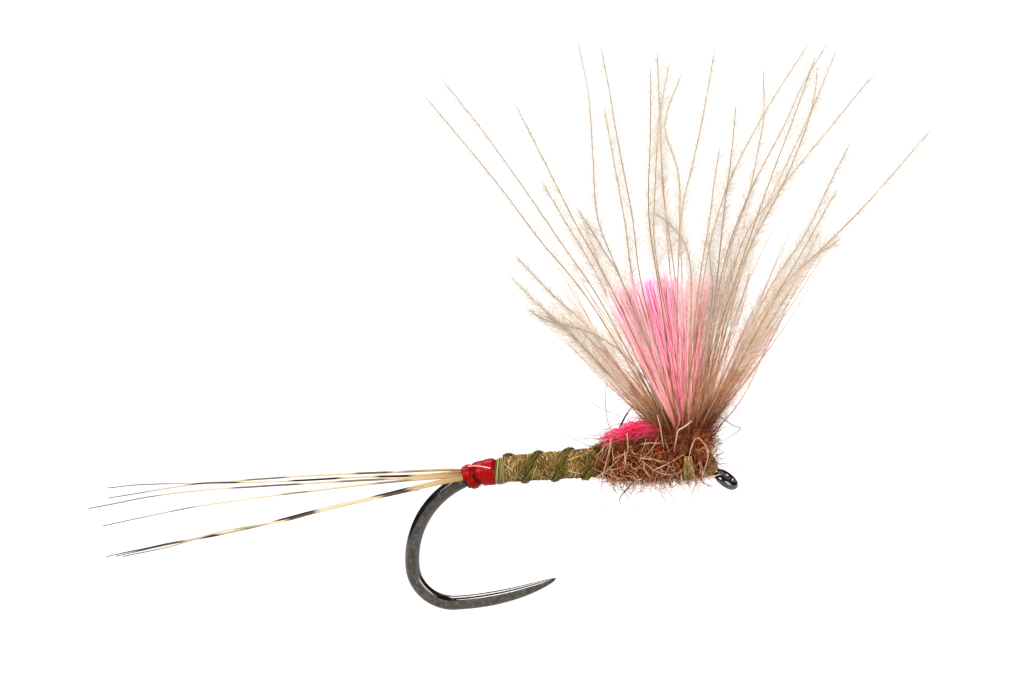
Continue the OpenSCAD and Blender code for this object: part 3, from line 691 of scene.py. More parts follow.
def make_abdomen():
    rng = np.random.default_rng(41)
    mat = tone_finish(
        "body_fibre",
        [
            *((0.0, "221702"), (0.25, "402C06"), (0.5, "725412"), (0.72, "AC8842")),
            *((0.93, "ECD8A4"), (0.96, "B4402A"), (1.0, "B4402A")),
        ],
        [(0.0, 0.95), (0.5, 1.0), (1.0, 1.0)],
        roughness=0.6,
        grain=2600.0,
        grain_share=0.35,
        Sheen_Weight=0.08,
    )
    piece = Piece("abdomen_fibres", "body_fibre", mat, ["abdomen_wrap"])
    x = np.linspace(ABD_X0, ABD_X1, 90)
    turn = 2 * np.pi * np.arange(64) / 64
    rough = 0.012 * np.sin(x[:, None] * 26 + np.sin(turn)[None] * 4) + 0.006 * rng.normal(size=(90, 64))
    end = np.clip(np.minimum(x - ABD_X0, ABD_X1 - x) / 0.2, 0, 1) ** 0.5
    r = (abd_r(x) - 0.055)[:, None] * (0.8 + 0.2 * end)[:, None] + rough
    piece.grid(hoops(x, r, abd_z(x), turn), np.linspace(0, 1, 90)[None], 0.42)
    # wound fibres that lie round the body
    n, points = 2600, 10
    x0 = rng.uniform(ABD_X0 + 0.03, ABD_X1 - 0.05, n)
    a0 = rng.uniform(0, 2 * np.pi, n)
    sweep = rng.uniform(0.3, 1.2, n)
    s = np.linspace(0, 1, points)[None]
    a = a0[:, None] + sweep[:, None] * s
    xx = np.clip(x0[:, None] + rng.normal(0.0, 0.26, n)[:, None] * s, ABD_X0, ABD_X1)
    rr = abd_r(xx) - 0.045 + rng.uniform(-0.02, 0.03, n)[:, None] + 0.015 * np.sin(s * np.pi)
    paths = np.stack([xx, rr * np.sin(a), abd_z(xx) + rr * np.cos(a)], -1)
    paths = wander(rng, paths, 0.025, 2.0)
    patch = 0.10 * np.sin(x0 * 7.0 + 2.0 * np.sin(a0)) + 0.06 * np.sin(x0 * 17 + a0 * 2)
    tone = np.clip(rng.normal(0.52, 0.19, n) + patch, 0, 0.93)
    piece.strands(paths, 0.014 * (1 - 0.4 * s), tone, sides=4)
    # fine hairs that stand off it
    n = 900
    x0 = rng.uniform(ABD_X0 + 0.02, ABD_X1, n)
    a0 = rng.uniform(0, 2 * np.pi, n)
    root = np.stack([x0, (abd_r(x0) - 0.03) * np.sin(a0), abd_z(x0) + (abd_r(x0) - 0.03) * np.cos(a0)], -1)
    out = np.stack([0 * a0, np.sin(a0), np.cos(a0)], -1)
    lean = np.stack([rng.normal(0, 0.6, n), np.cos(a0), -np.sin(a0)], -1)
    size = rng.uniform(0.05, 0.20, n)[:, None]
    c1, c2 = root + out * 0.3 * size, root + (out * 0.4 + lean * 0.4) * size
    paths = curves(root, c1, c2, root + (out * 0.4 + lean) * size, 5)
    tone = np.clip(rng.normal(0.72, 0.2, n), 0, 0.93)
    tone[(x0 < ABD_X0 + 0.45) & (rng.random(n) < 0.6)] = 1.0
    piece.strands(paths, taper(0.007, 0.003, 5), tone, sides=3)
    piece.write()


RIB_TOP_X, RIB_PITCH = -8.27, 1.36


def make_rib():
    mat = tone_finish(
        "rib_cord",
        [(0.0, "201A02"), (0.4, "4A4004"), (0.75, "6C6212"), (1.0, "94893A")],
        [(0.0, 1.0), (1.0, 1.0)],
        roughness=0.55,
        grain=4000.0,
        grain_share=0.4,
        Sheen_Weight=0.05,
    )
    piece = Piece("rib_plies", "rib_cord", mat, ["rib_cord"])
    rng = np.random.default_rng(44)
    x = np.linspace(RIB_TOP_X - RIB_PITCH - 0.02, ABD_X1 + 0.05, 460)
    a = 2 * np.pi * (x - RIB_TOP_X) / RIB_PITCH
    out = np.stack([0 * x, np.sin(a), np.cos(a)], -1)
    centre = np.stack([x, 0 * x, abd_z(x)], -1) + out * (abd_r(x) + 0.035)[:, None]
    heading = unit(np.gradient(centre, axis=0))
    side = np.cross(heading, out)
    run = np.concatenate([[0], np.cumsum(np.linalg.norm(np.diff(centre, axis=0), axis=1))])
    for _ in range(38):
        spin = 2 * np.pi * (run / rng.uniform(1.4, 3.2) + rng.random())
        q = np.sqrt(rng.random())
        ply = centre + 0.05 * q * np.cos(spin)[:, None] * out + 0.15 * q * np.sin(spin)[:, None] * side
        ply = wander(rng, ply[None], 0.02, 60.0)[0]
        piece.strands(ply[None], 0.026, np.clip(rng.normal(0.45, 0.25), 0, 1), sides=5)
    hairs, _ = barbules(rng, centre[None], 0.0, 1.0, 1100, 0.30, (30, 80), lie=0.3, fall=0.0)
    piece.strands(hairs, taper(0.008, 0.003, 4), some_tones(rng, 0.6, 0.2, len(hairs)), sides=3)
    piece.write()


# ---- thorax ----
THORAX_Z = SHANK_Z + 0.26


def thorax_r(x):
    rise = np.clip((x + 5.6) / 0.7, 0, 1) ** 0.5
    fall = np.clip((-0.75 - x) / 0.6, 0, 1) ** 0.5
    return 0.66 + 0.22 * np.minimum(rise, fall)


def thorax_core(piece, x0, x1, rng):
    x = np.linspace(x0, x1, 40)
    turn = 2 * np.pi * np.arange(48) / 48
    r = np.maximum(thorax_r(x) - 0.20, 0.36)[:, None] + 0.03 * rng.normal(size=(40, 48))
    # painted shade: the core is near-black, at the darker root end of the along ramp, and shows as dark gaps
    # between the hairs
    piece.grid(hoops(x, r, np.full(40, THORAX_Z), turn), 0.0, 0.05)


def dubbing(rng, x0, x1, count, length, stand, points=9, spread=None, deep=0.14):
    """Curly hairs rooted in the thorax; spread is (angle from the top, scatter), stand how far they rise."""
    x = rng.uniform(x0, x1, count)
    a = rng.uniform(0, 2 * np.pi, count) if spread is None else rng.normal(*spread, count)
    r = np.maximum(thorax_r(x) - deep * rng.uniform(0.3, 1.3, count), 0.3)
    out = np.stack([0 * a, np.sin(a), np.cos(a)], -1)
    root = np.stack([x, 0 * a, np.full(count, THORAX_Z)], -1) + out * r[:, None]
    round_ = np.stack([0 * a, np.cos(a), -np.sin(a)], -1) * rng.choice([-1, 1], count)[:, None]
    along = np.zeros((count, 3))
    along[:, 0] = rng.normal(0, 0.8, count)
    lay = unit(round_ * rng.uniform(0.2, 1.0, count)[:, None] + along)
    size = rng.uniform(length[0], length[1], count)[:, None]
    lift = rng.uniform(stand[0], stand[1], count)[:, None]
    # a hair that lies along the surface bends round with it
    sag = -out * size**2 * 0.35 * (1 - lift)
    c1 = root + (out * (0.12 + 0.3 * lift) + lay * 0.2) * size
    c2 = root + (out * lift * 0.9 + lay * 0.6) * size + sag * 0.4
    tip = root + (out * lift + lay * (1 - 0.4 * lift)) * size + sag
    return curves(root, c1, c2, tip, points), a


# Places in millimetres on the larger single hairs. This table was printed by a scratch program
# from points picked on the photograph, at depths that are guessed.
GUARD_HAIRS = [  # points, tone from dark to pale, radius
    ([(-4.79, -0.95, 2.54), (-4.93, -0.98, 1.90), (-5.16, -1.01, 1.23), (-5.34, -1.04, 0.64),
      (-5.40, -1.07, 0.19), (-5.36, -1.10, -0.13)], 0.75, 0.026),
    ([(-4.07, -0.90, 2.71), (-4.08, -0.93, 2.07), (-4.20, -0.97, 1.63), (-4.41, -1.00, 1.23)], 0.85, 0.026),
    ([(-2.71, -0.60, 3.37), (-2.61, -0.72, 2.94), (-2.56, -0.83, 2.37), (-2.50, -0.95, 1.94)], 0.8, 0.026),
    ([(-1.19, -0.70, 3.04), (-1.56, -0.76, 2.80), (-1.83, -0.82, 2.65), (-1.94, -0.89, 2.26),
      (-2.07, -0.95, 1.74)], 0.85, 0.04),
    ([(-1.49, -1.00, 1.26), (-1.36, -1.00, 1.71), (-1.20, -1.00, 2.12), (-1.00, -1.00, 2.35),
      (-0.79, -1.00, 2.19), (-0.57, -1.00, 1.67), (-0.71, -1.00, 1.07), (-0.94, -1.00, 0.53)], 0.9, 0.026),
    ([(-4.74, -0.95, 1.56), (-4.37, -0.98, 1.73), (-4.00, -1.00, 1.91)], 0.8, 0.022),
    ([(-3.59, -1.00, 1.56), (-2.93, -1.00, 1.43), (-2.33, -1.00, 1.28)], 0.9, 0.028),
    ([(-3.11, -1.00, 0.92), (-2.70, -0.98, 1.08), (-2.29, -0.97, 1.26), (-1.60, -0.95, 1.62)], 0.9, 0.03),
    ([(-3.47, -1.00, 1.41), (-3.18, -1.00, 1.11), (-2.77, -1.00, 0.81), (-2.24, -1.00, 0.71),
      (-1.79, -1.00, 0.85), (-1.46, -1.00, 1.16)], 0.85, 0.022),
    ([(-2.39, -0.90, 1.22), (-2.37, -0.90, 0.66), (-2.35, -0.90, 0.10), (-2.12, -0.90, 0.18),
      (-1.88, -0.90, 0.40)], 0.6, 0.022),
    ([(-3.95, -0.90, 0.51), (-4.16, -0.88, 0.24), (-4.40, -0.85, 0.01), (-4.65, -0.82, -0.32),
      (-4.73, -0.80, -0.65)], 0.1, 0.024),
    ([(-2.86, -0.70, 0.06), (-2.81, -0.63, -0.30), (-2.67, -0.57, -0.66),
      (-2.39, -0.50, -1.02)], 0.55, 0.012),
    ([(-0.51, -0.40, 3.55), (-0.27, -0.30, 3.31), (0.21, -0.20, 2.83), (0.53, -0.10, 2.53),
      (0.84, 0.00, 2.33), (0.47, 0.10, 2.04), (-0.15, 0.20, 1.60)], 0.45, 0.022),
    ([(-4.63, -0.50, 2.28), (-4.89, -0.45, 2.93), (-4.96, -0.40, 3.61), (-4.93, -0.35, 4.29),
      (-4.80, -0.30, 5.01)], 0.6, 0.018),
    ([(-4.29, -0.40, 3.25), (-4.81, -0.25, 3.50), (-5.46, -0.10, 3.81), (-5.92, 0.05, 4.34),
      (-6.19, 0.20, 4.91)], 0.8, 0.01),
    ([(-4.37, -0.40, 3.34), (-5.04, -0.50, 3.70), (-5.60, -0.60, 4.18)], 0.8, 0.012),
    ([(-5.39, -0.30, 1.97), (-5.82, -0.35, 1.99), (-6.24, -0.40, 2.24), (-6.65, -0.45, 2.56),
      (-7.07, -0.50, 2.78)], 0.5, 0.014),
    ([(-0.09, -0.20, 0.85), (0.25, -0.23, 0.61), (0.68, -0.27, 0.43), (1.13, -0.30, 0.56)], 0.6, 0.01),
    ([(-4.56, -0.60, 0.02), (-4.23, -0.70, -0.48), (-3.95, -0.80, -0.86)], 0.6, 0.012),
    ([(-4.47, -0.30, 2.76), (-4.26, -0.33, 3.13), (-4.05, -0.37, 3.45), (-3.71, -0.40, 3.82)], 0.12, 0.022),
    ([(-4.37, -0.35, 2.86), (-4.11, -0.32, 3.30), (-3.92, -0.30, 3.52)], 0.05, 0.02),
    ([(-0.53, -0.20, 3.01), (0.02, -0.05, 3.35), (0.48, 0.10, 3.74)], 0.6, 0.014),
    ([(0.30, 0.20, 4.27), (0.50, 0.30, 3.67), (0.73, 0.40, 2.83), (0.80, 0.50, 1.62)], 0.85, 0.008),
    ([(0.25, -0.50, 4.61), (0.84, -0.40, 4.91), (1.60, -0.30, 5.16), (2.37, -0.20, 5.59)], 0.7, 0.01),
    ([(1.74, 0.40, 5.97), (2.33, 0.47, 6.15), (2.80, 0.53, 6.61), (3.08, 0.60, 7.40)], 0.9, 0.008),
    ([(-4.93, -1.00, 0.32), (-4.82, -1.00, 0.13), (-4.75, -1.00, -0.06)], 0.2, 0.02),
    ([(-5.61, -0.95, 0.72), (-5.14, -0.97, 1.02), (-4.66, -0.98, 1.42), (-4.37, -1.00, 1.69)], 0.8, 0.022),
    ([(-3.48, -1.00, 2.20), (-3.00, -1.00, 2.22), (-2.47, -1.00, 2.17)], 0.75, 0.022),
    ([(-2.28, -1.00, 1.30), (-1.98, -0.97, 1.74), (-1.59, -0.93, 2.21), (-1.24, -0.90, 2.70)], 0.35, 0.03),
    ([(-0.77, -0.90, 0.43), (-0.42, -0.90, 0.51), (-0.06, -0.90, 0.58)], 0.9, 0.028),
    ([(-0.30, -0.60, 2.21), (-0.09, -0.65, 2.54), (0.22, -0.70, 2.96)], 0.3, 0.02),
    ([(-0.44, -0.90, 1.21), (-0.21, -0.90, 1.43), (0.11, -0.90, 1.55)], 0.2, 0.02),
    ([(-1.84, -0.90, 0.87), (-1.85, -0.95, 0.42), (-1.78, -1.00, -0.03)], 0.9, 0.026),
    ([(-1.81, -0.70, 4.05), (-1.76, -0.77, 3.51), (-1.70, -0.83, 3.16), (-1.90, -0.90, 2.73)], 0.75, 0.022),
]


def make_thorax():
    mat = tone_finish(
        "dubbing",
        [
            *((0.0, "0E0200"), (0.18, "2C0802"), (0.36, "641A05"), (0.55, "9A3E10")),
            *((0.72, "B4642E"), (0.86, "C89060"), (1.0, "DCC096")),
        ],
        [(0.0, 0.8), (0.5, 1.0), (1.0, 1.0)],
        roughness=0.45,
        grain=2500.0,
        grain_share=0.15,
        Sheen_Weight=0.05,
    )
    for name, node, x0, x1, seed, count in (
        ("thorax_dub_rear", "thorax_dubbing_rear", -5.15, -2.6, 51, 1150),
        ("thorax_dub_front", "thorax_dubbing_front", -2.6, -0.85, 52, 760),
    ):
        rng = np.random.default_rng(seed)
        piece = Piece(name, "dubbing", mat, [node])
        thorax_core(piece, x0 + 0.02, x1, rng)
        lay, a = dubbing(rng, x0, x1, count, (0.5, 1.5), (0.0, 0.25), points=12, deep=0.20)
        lay = wander(rng, lay, 0.24, 2.6)
        low = 0.12 * -np.cos(a)  # the underside is more orange, the top darker
        patch = 0.10 * np.sin(3.1 * lay[:, 0, 0] + 2.0 * a)
        tone = np.clip(rng.normal(0.38, 0.17, count) + low + patch, 0, 1)
        piece.strands(lay, taper(0.013, 0.007, 12), tone, sides=4)
        n = count // 5
        pale, a = dubbing(rng, x0, x1, n, (0.5, 1.4), (0.05, 0.25), points=12, deep=0.02)
        pale = wander(rng, pale, 0.13, 2.0)
        tone = np.clip(rng.normal(0.78, 0.14, n) + 0.5 * (-0.12 * np.cos(a)), 0, 1)
        piece.strands(pale, taper(0.019, 0.011, 12), tone, sides=4)
        n = count // 6
        curl, a = dubbing(rng, x0, x1, n, (0.35, 0.8), (0.3, 0.8), points=14)
        curl = wander(rng, curl, 0.22, 3.0)
        piece.strands(curl, taper(0.009, 0.005, 14), some_tones(rng, 0.6, 0.16, n), sides=3)
        # rusty hairs that stand up before the yarn stub and round the foot of the wing
        if name == "thorax_dub_rear":
            up, _ = dubbing(rng, -5.0, -2.9, 200, (0.5, 1.15), (0.5, 1.0), points=10, spread=(-0.55, 0.35))
        else:
            up, _ = dubbing(rng, -2.6, -0.9, 260, (0.8, 1.9), (0.6, 1.0), points=10, spread=(0.0, 0.75))
        up = wander(rng, up, 0.2, 2.6)
        piece.strands(up, taper(0.009, 0.004, 10), some_tones(rng, 0.48, 0.15, len(up)), sides=3)
        # pale wisps that hang below
        n = count // 7
        wisp, _ = dubbing(rng, x0, x1, n, (0.5, 1.35), (0.55, 0.95), points=12, spread=(math.pi, 0.55))
        wisp = wander(rng, wisp, 0.20, 1.8)
        piece.strands(wisp, taper(0.010, 0.005, 12), some_tones(rng, 0.84, 0.12, n), sides=3)
        if "front" in name:
            # the tuft that climbs in front of the wing
            n = 420
            root = np.array([-1.15, 0, 1.7]) + rng.normal(size=(n, 3)) * [0.16, 0.5, 0.45]
            d = unit(rng.normal(size=(n, 3)) * [0.5, 0.7, 0.7] + [0.9, 0, 0.5])
            size = rng.uniform(0.35, 1.0, n)[:, None]
            c2 = root + d * size * 0.7 + rng.normal(size=(n, 3)) * 0.08
            tuft = curves(root, root + d * size * 0.3, c2, root + d * size, 14)
            tuft = wander(rng, tuft, 0.24, 3.2)
            piece.strands(tuft, taper(0.011, 0.006, 14), some_tones(rng, 0.56, 0.16, n), sides=3)
        piece.write()


def make_guard_hairs():
    rng = np.random.default_rng(61)
    mat = tone_finish(
        "guard_hair",
        [(0.0, "1E0E08"), (0.3, "422618"), (0.6, "8A664C"), (0.8, "B89272"), (1.0, "D2B08A")],
        [(0.0, 1.0), (0.7, 1.0), (1.0, 0.85)],
        roughness=0.35,
        grain=1500.0,
        grain_share=0.2,
        Coat_Weight=0.2,
    )
    piece = Piece("guard_hairs_long", "guard_hair", mat, ["guard_hairs"])
    profile = np.array([0.8, 1.0, 1.0, 0.95, 0.85, 0.7, 0.35])
    for points, tone, r in GUARD_HAIRS:
        path = through(points, 26)
        size = r * np.interp(np.linspace(0, 1, 26), np.linspace(0, 1, 7), profile)
        piece.strands(path[None], size[None], tone, sides=6)
    paths, _ = dubbing(rng, -5.4, -1.0, 90, (0.8, 1.7), (0.02, 0.35), points=14, deep=-0.05)
    paths = wander(rng, paths, 0.12, 1.3)
    size = np.interp(np.linspace(0, 1, 14), np.linspace(0, 1, 7), profile)[None]
    piece.strands(paths, 0.018 * size, some_tones(rng, 0.72, 0.2, 90), sides=5)
    paths, _ = dubbing(rng, -5.4, -1.0, 26, (0.8, 1.5), (0.6, 0.95), points=14, spread=(math.pi, 0.6))
    paths = wander(rng, paths, 0.12, 1.0)
    piece.strands(paths, 0.014 * size, some_tones(rng, 0.4, 0.25, 26), sides=5)
    piece.write()


def make_thorax_thread():
    paths = []
    for k in range(9):
        a = np.radians(np.linspace(70, 290, 70))
        x = -1.66 + 0.042 * k + 0.05 * np.sin(a * 2 + k * 0.4) + 0.04 * np.cos(a)
        r = 0.945 + 0.02 * np.cos(a * 3 + k) + 0.008 * (k % 3)
        paths.append(np.stack([x, -r * np.sin(a), THORAX_Z + r * np.cos(a)], -1))
    thread_piece("thorax_turns", ["thorax_thread"], paths, 0.075, 71, (0.6, 1.0))


# ---- pink yarn ----
def translucent(finish, share):
    """Lets light through thin fibres: mixes in a translucent shader of the same colour."""
    tree, bsdf = finish.tree, finish.bsdf
    glow = finish.node("ShaderNodeBsdfTranslucent")
    source = bsdf.inputs["Base Color"].links[0].from_socket
    tree.links.new(source, glow.inputs["Color"])
    both = finish.node("ShaderNodeMixShader")
    both.inputs[0].default_value = share
    tree.links.new(bsdf.outputs[0], both.inputs[1])
    tree.links.new(glow.outputs[0], both.inputs[2])
    tree.links.new(both.outputs[0], tree.nodes["Material Output"].inputs["Surface"])
    return finish.mat


def yarn_material():
    f = Finish("pink_yarn", 0.45, Sheen_Weight=0.3)
    tone = f.ramp(
        f.attribute("tone"),
        [
            *((0.0, "FF2E78"), (0.1, "FF5C9C"), (0.25, "FF8CC6"), (0.45, "FFB8E2")),
            *((0.6, "FFD6E4"), (0.8, "FFE8EA"), (1.0, "FFF0EE")),
        ],
    )
    # painted shade: each filament turns darker and maroon towards its root, standing in for the shade at the
    # foot of the post
    painted_root_shade = f.ramp(
        f.attribute("along"),
        [(0.0, "7A2418"), (0.14, "B05840"), (0.30, "F0A494"), (0.42, "FFE8E4"), (1.0, "FFFFFF")],
    )
    f.base(f.mix(tone, painted_root_shade, 1.0, "MULTIPLY"))
    return translucent(f, 0.68)


POST_CLUMPS = [  # lean from, lean to, share of the filaments, tone
    (-20.6, -9.5, 0.36, 0.72),
    (-8.5, -2.4, 0.30, 0.60),
    (-2.4, 1.4, 0.12, 0.68),
    (1.4, 4.6, 0.04, 0.82),
    (4.6, 12.2, 0.18, 0.72),
]


def make_post(mat):
    rng = np.random.default_rng(81)
    piece = Piece("post_filaments", "pink_yarn", mat, ["post_yarn"])
    points = 14
    for lean0, lean1, share, shade_of in POST_CLUMPS:
        n = int(950 * share)
        lean = rng.uniform(lean0, lean1, n)
        deep = rng.uniform(-0.42, 0.42, n)
        a = rng.uniform(0, 2 * np.pi, n)
        q = 0.30 * np.sqrt(rng.random(n))
        root = WING_ROOT + np.stack([q * np.cos(a), q * np.sin(a), np.full(n, 0.12)], -1)
        top = 8.0 - 0.035 * np.clip(-lean - 9, 0, 20) + 0.12 * np.sin(lean * 1.3) + rng.normal(0, 0.12, n)
        top = top - np.abs(rng.normal(0, 0.5, n)) * (rng.random(n) < 0.4)  # some are cut short
        tip = WING_ROOT + np.stack([np.tan(np.radians(lean)) * top, deep, top], -1)
        paths = curves(root, root + np.array([0, 0, 0.9]), root + (tip - root) * 0.5, tip, points)
        paths = wander(rng, paths, 0.16, 1.4)
        tone = np.clip(shade_of + 0.09 * rng.normal(size=n), 0, 1)
        hot = rng.random(n) < (0.05 if shade_of > 0.6 else 0.22)
        tone = np.where(hot, tone * 0.55, tone)
        piece.strands(paths, 0.013, tone, sides=4)
    return piece.write()


def make_stub(mat):
    rng = np.random.default_rng(82)
    piece = Piece("yarn_stub_tuft", "pink_yarn", mat, ["yarn_stub"])
    for n, tip_at, scatter, lift in (
        (280, (-4.20, -0.05, 2.44), (0.28, 0.26, 0.13), 0.74),
        (130, (-4.98, -0.10, 2.26), (0.13, 0.20, 0.12), 0.30),
    ):
        start = np.array([-2.75, 0, 2.2]) + rng.normal(size=(n, 3)) * [0.12, 0.16, 0.12]
        tip = np.array(tip_at) + rng.normal(size=(n, 3)) * scatter
        c1 = start + [-0.5, 0, lift] + rng.normal(size=(n, 3)) * 0.12
        paths = curves(start, c1, tip + [0.45, 0, 0.30 * lift], tip, 12)
        paths = wander(rng, paths, 0.18, 2.6)
        # along starts at 0.30, so the stub takes only part of the yarn's painted root shade
        along = 0.30 + 0.7 * np.linspace(0, 1, 12)[None] ** 0.7
        piece.strands(paths, 0.014, some_tones(rng, 0.12, 0.09, n), along=along, sides=4)
    return piece.write()


# ---- down ----
WING_WATTS = 3.3
WING_PIECES = ["post_filaments", "down_butts"]
WING_PIECES += [kind + fan for kind in ("down_", "long_down_") for fan in ("rear", "near", "far", "front")]
FANS = {  # lean from and to, reach, tilt across, stems
    "rear": (-44, -23, 10.8, 5, 26),
    "near": (-12, 20, 9.0, -8, 6),
    "far": (-20, 20, 9.8, 9, 12),
    "front": (14, 38, 11.6, 0, 40),
}
# Places in millimetres on each long fibre above its foot. This table was printed by a scratch
# program from points picked on the photograph, at depths that are guessed.
LONG_FIBRES = {
    "rear": [
        [(-5.3, -0.7, 9.0), (-7.1, -0.9, 11.8), (-8.6, -1.1, 14.4), (-10.1, -1.3, 16.8),
         (-11.4, -1.5, 18.8)],
        [(-4.9, 0.6, 8.4), (-6.4, 0.8, 11.1), (-8.0, 1.1, 13.9), (-9.5, 1.3, 16.4), (-11.1, 1.5, 18.7)],
        [(-4.1, -1.2, 9.4), (-5.4, -1.7, 12.8), (-6.4, -2.1, 15.7), (-7.4, -2.5, 18.5)],
        [(-4.8, 0.5, 9.3), (-6.1, 0.7, 12.0), (-7.0, 0.8, 14.0)],
        [(-3.7, -0.4, 9.5), (-4.4, -0.4, 11.0), (-4.9, -0.5, 12.1), (-5.4, -0.5, 13.0)],
        [(-4.4, 0.3, 8.9), (-4.9, 0.4, 10.8), (-5.3, 0.5, 12.2)],
        [(-6.0, -0.7, 7.1), (-7.6, -0.9, 9.0), (-8.6, -1.0, 10.3)],
        [(-5.5, 0.6, 7.1), (-7.0, 0.8, 8.7), (-8.5, 1.0, 10.5)],
        [(-2.9, -0.5, 4.7), (-3.9, -0.6, 6.2), (-4.9, -0.7, 7.1), (-5.9, -0.8, 7.6), (-7.2, -0.9, 8.1),
         (-7.9, -1.0, 8.7)],
        [(-3.4, -0.5, 4.0), (-4.6, -0.6, 5.3), (-5.6, -0.7, 6.6), (-6.3, -0.8, 7.6), (-7.2, -0.9, 8.3)],
    ],
    "near": [
        [(-2.8, -1.2, 9.6), (-2.9, -1.6, 12.9), (-3.2, -2.2, 16.6), (-3.5, -2.8, 20.8)],
        [(-2.0, -1.3, 8.9), (-2.1, -2.0, 13.0), (-1.6, -2.7, 17.0), (-1.3, -3.2, 19.9)],
        [(-2.1, -0.9, 10.8), (-1.8, -1.2, 14.3), (-1.4, -1.5, 17.3)],
        [(-1.2, -1.6, 9.4), (-0.6, -2.6, 14.2), (-0.7, -3.0, 15.9), (-0.9, -3.2, 16.8),
         (-0.9, -3.3, 17.5), (-0.6, -3.5, 18.4), (0.1, -3.8, 19.8)],
        [(-0.2, -1.7, 9.8), (0.5, -2.3, 12.7), (0.9, -2.7, 14.6), (1.3, -3.0, 16.2)],
        [(0.3, -0.9, 8.6), (1.1, -1.4, 12.8), (1.7, -1.7, 15.6), (2.1, -2.0, 17.8)],
        [(0.1, -1.2, 10.4), (1.0, -1.5, 13.1), (2.0, -1.8, 15.2), (3.6, -2.2, 17.8), (5.4, -2.5, 20.3)],
        [(-0.7, -1.2, 8.8), (-0.6, -1.3, 10.3), (-0.8, -1.4, 11.6), (-1.4, -1.5, 12.5), (-2.0, -1.6, 13.0)],
        [(0.2, -1.0, 8.6), (0.3, -1.1, 10.4), (0.3, -1.2, 11.5)],
    ],
    "far": [
        [(-4.0, 1.3, 9.1), (-4.8, 1.7, 11.7), (-4.8, 2.1, 14.4), (-4.8, 2.6, 17.0), (-5.1, 3.0, 19.6)],
        [(-3.4, 0.7, 9.0), (-3.6, 1.0, 11.8), (-3.9, 1.3, 14.8), (-4.1, 1.5, 17.0)],
        [(-1.6, 1.3, 8.5), (-1.9, 2.1, 12.8), (-1.8, 2.6, 15.6), (-1.7, 3.2, 18.8)],
        [(-1.8, 1.6, 7.9), (-1.9, 2.6, 12.2), (-1.9, 3.4, 15.4), (-1.7, 3.7, 16.6), (-1.3, 4.0, 18.1)],
        [(-1.3, 1.0, 8.5), (-1.1, 1.5, 11.8), (-0.4, 1.8, 14.2), (0.2, 2.1, 16.3), (0.9, 2.5, 19.0)],
        [(0.7, 1.9, 9.5), (1.8, 2.6, 12.2), (2.4, 3.1, 14.3), (2.7, 3.4, 15.6), (2.8, 3.8, 17.5)],
    ],
    "front": [
        [(0.6, 0.4, 9.5), (1.9, 0.6, 12.6), (3.8, 0.8, 15.8), (4.7, 0.9, 17.5), (5.9, 1.0, 19.3)],
        [(1.9, -1.4, 11.0), (3.3, -1.9, 14.3), (4.6, -2.4, 17.2), (5.7, -2.8, 19.8)],
        [(1.7, 1.5, 10.0), (3.7, 2.2, 13.8), (4.9, 2.6, 16.0), (6.1, 3.0, 18.4)],
        [(1.5, -0.7, 9.8), (3.7, -1.0, 13.7), (4.9, -1.3, 16.3), (5.4, -1.4, 17.9), (5.6, -1.5, 19.0)],
        [(1.4, 0.8, 10.3), (3.1, 1.0, 12.6), (5.3, 1.2, 15.0), (7.8, 1.4, 17.7)],
        [(2.7, -0.5, 8.3), (5.3, -0.6, 10.7), (7.4, -0.8, 12.7), (10.3, -1.0, 15.8)],
        [(2.3, 1.0, 8.0), (4.2, 1.4, 10.6), (5.5, 1.7, 12.8), (6.5, 2.0, 14.5)],
        [(2.9, -1.2, 8.5), (4.5, -1.6, 11.0), (6.1, -2.0, 13.6)],
        [(3.3, 0.4, 8.1), (4.2, 0.4, 9.6), (5.0, 0.5, 11.0)],
        [(2.5, 0.7, 7.5), (3.9, 0.9, 9.2), (5.8, 1.0, 10.5)],
    ],
}
# Share of a long fibre at which its side hairs start, how many it has and how long they are. On the
# near and far side of the pink post they start higher, so that the post shows.
HAZE = {
    "rear": (0.42, 1300, 1.0),
    "near": (0.48, 1250, 1.0),
    "far": (0.48, 1250, 1.0),
    "front": (0.30, 1550, 1.1),
}
DOWN_TOP = 11.0  # height over which the down's colour turns from brown to beige


def down_material(name, share=0.68):
    f = Finish(name, 0.5, Sheen_Weight=0.15)
    colour = f.ramp(
        f.attribute("along"),
        [
            *((0.0, "64290E"), (0.13, "905430"), (0.26, "E4B490")),
            *((0.45, "F6DCC8"), (0.8, "F6E8DC"), (1.0, "F4ECE4")),
        ],
    )
    shade_of = f.ramp(f.attribute("tone"), [(0.0, "CCB8A6"), (0.4, "F4ECE6"), (1.0, "FFFFFF")])
    colour = f.mix(colour, shade_of, 1.0, "MULTIPLY")
    mottle = f.ramp(f.noise(500.0, 3.0), [(0.35, 0.8), (0.65, 1.0)])
    f.base(f.mix(colour, mottle, 0.5, "MULTIPLY"))
    return translucent(f, share)


def feet(rng, direction, ring=0.42):
    """Where stems that head off in these directions stand round the post."""
    n = len(direction)
    around = unit(direction * [1, 1, 0] + rng.normal(size=(n, 3)) * [0.3, 0.3, 0])
    return WING_ROOT + around * ring * rng.uniform(0.75, 1.1, n)[:, None] + [0, 0, 0.12]


def wing_stems(rng, lean, tilt, length, bow, points=18):
    """Stems from the ring of butts at the wing's root out to their tips."""
    d = unit(np.stack([np.sin(np.radians(lean)), np.sin(np.radians(tilt)), np.cos(np.radians(lean))], -1))
    foot = feet(rng, d)
    tip = WING_ROOT + d * length[:, None]
    out = unit(np.cross(tip - foot, Y_AXIS))
    c1 = foot + (d * 0.7 + np.array([0, 0, 0.3])) * length[:, None] * 0.12
    c2 = foot + (tip - foot) * 0.55 - out * (bow * 1.6)[:, None]
    return curves(foot, c1, c2, tip, points)


def height_share(paths):
    return np.clip((paths[:, :, 2] - WING_ROOT[2]) / DOWN_TOP, 0, 1)


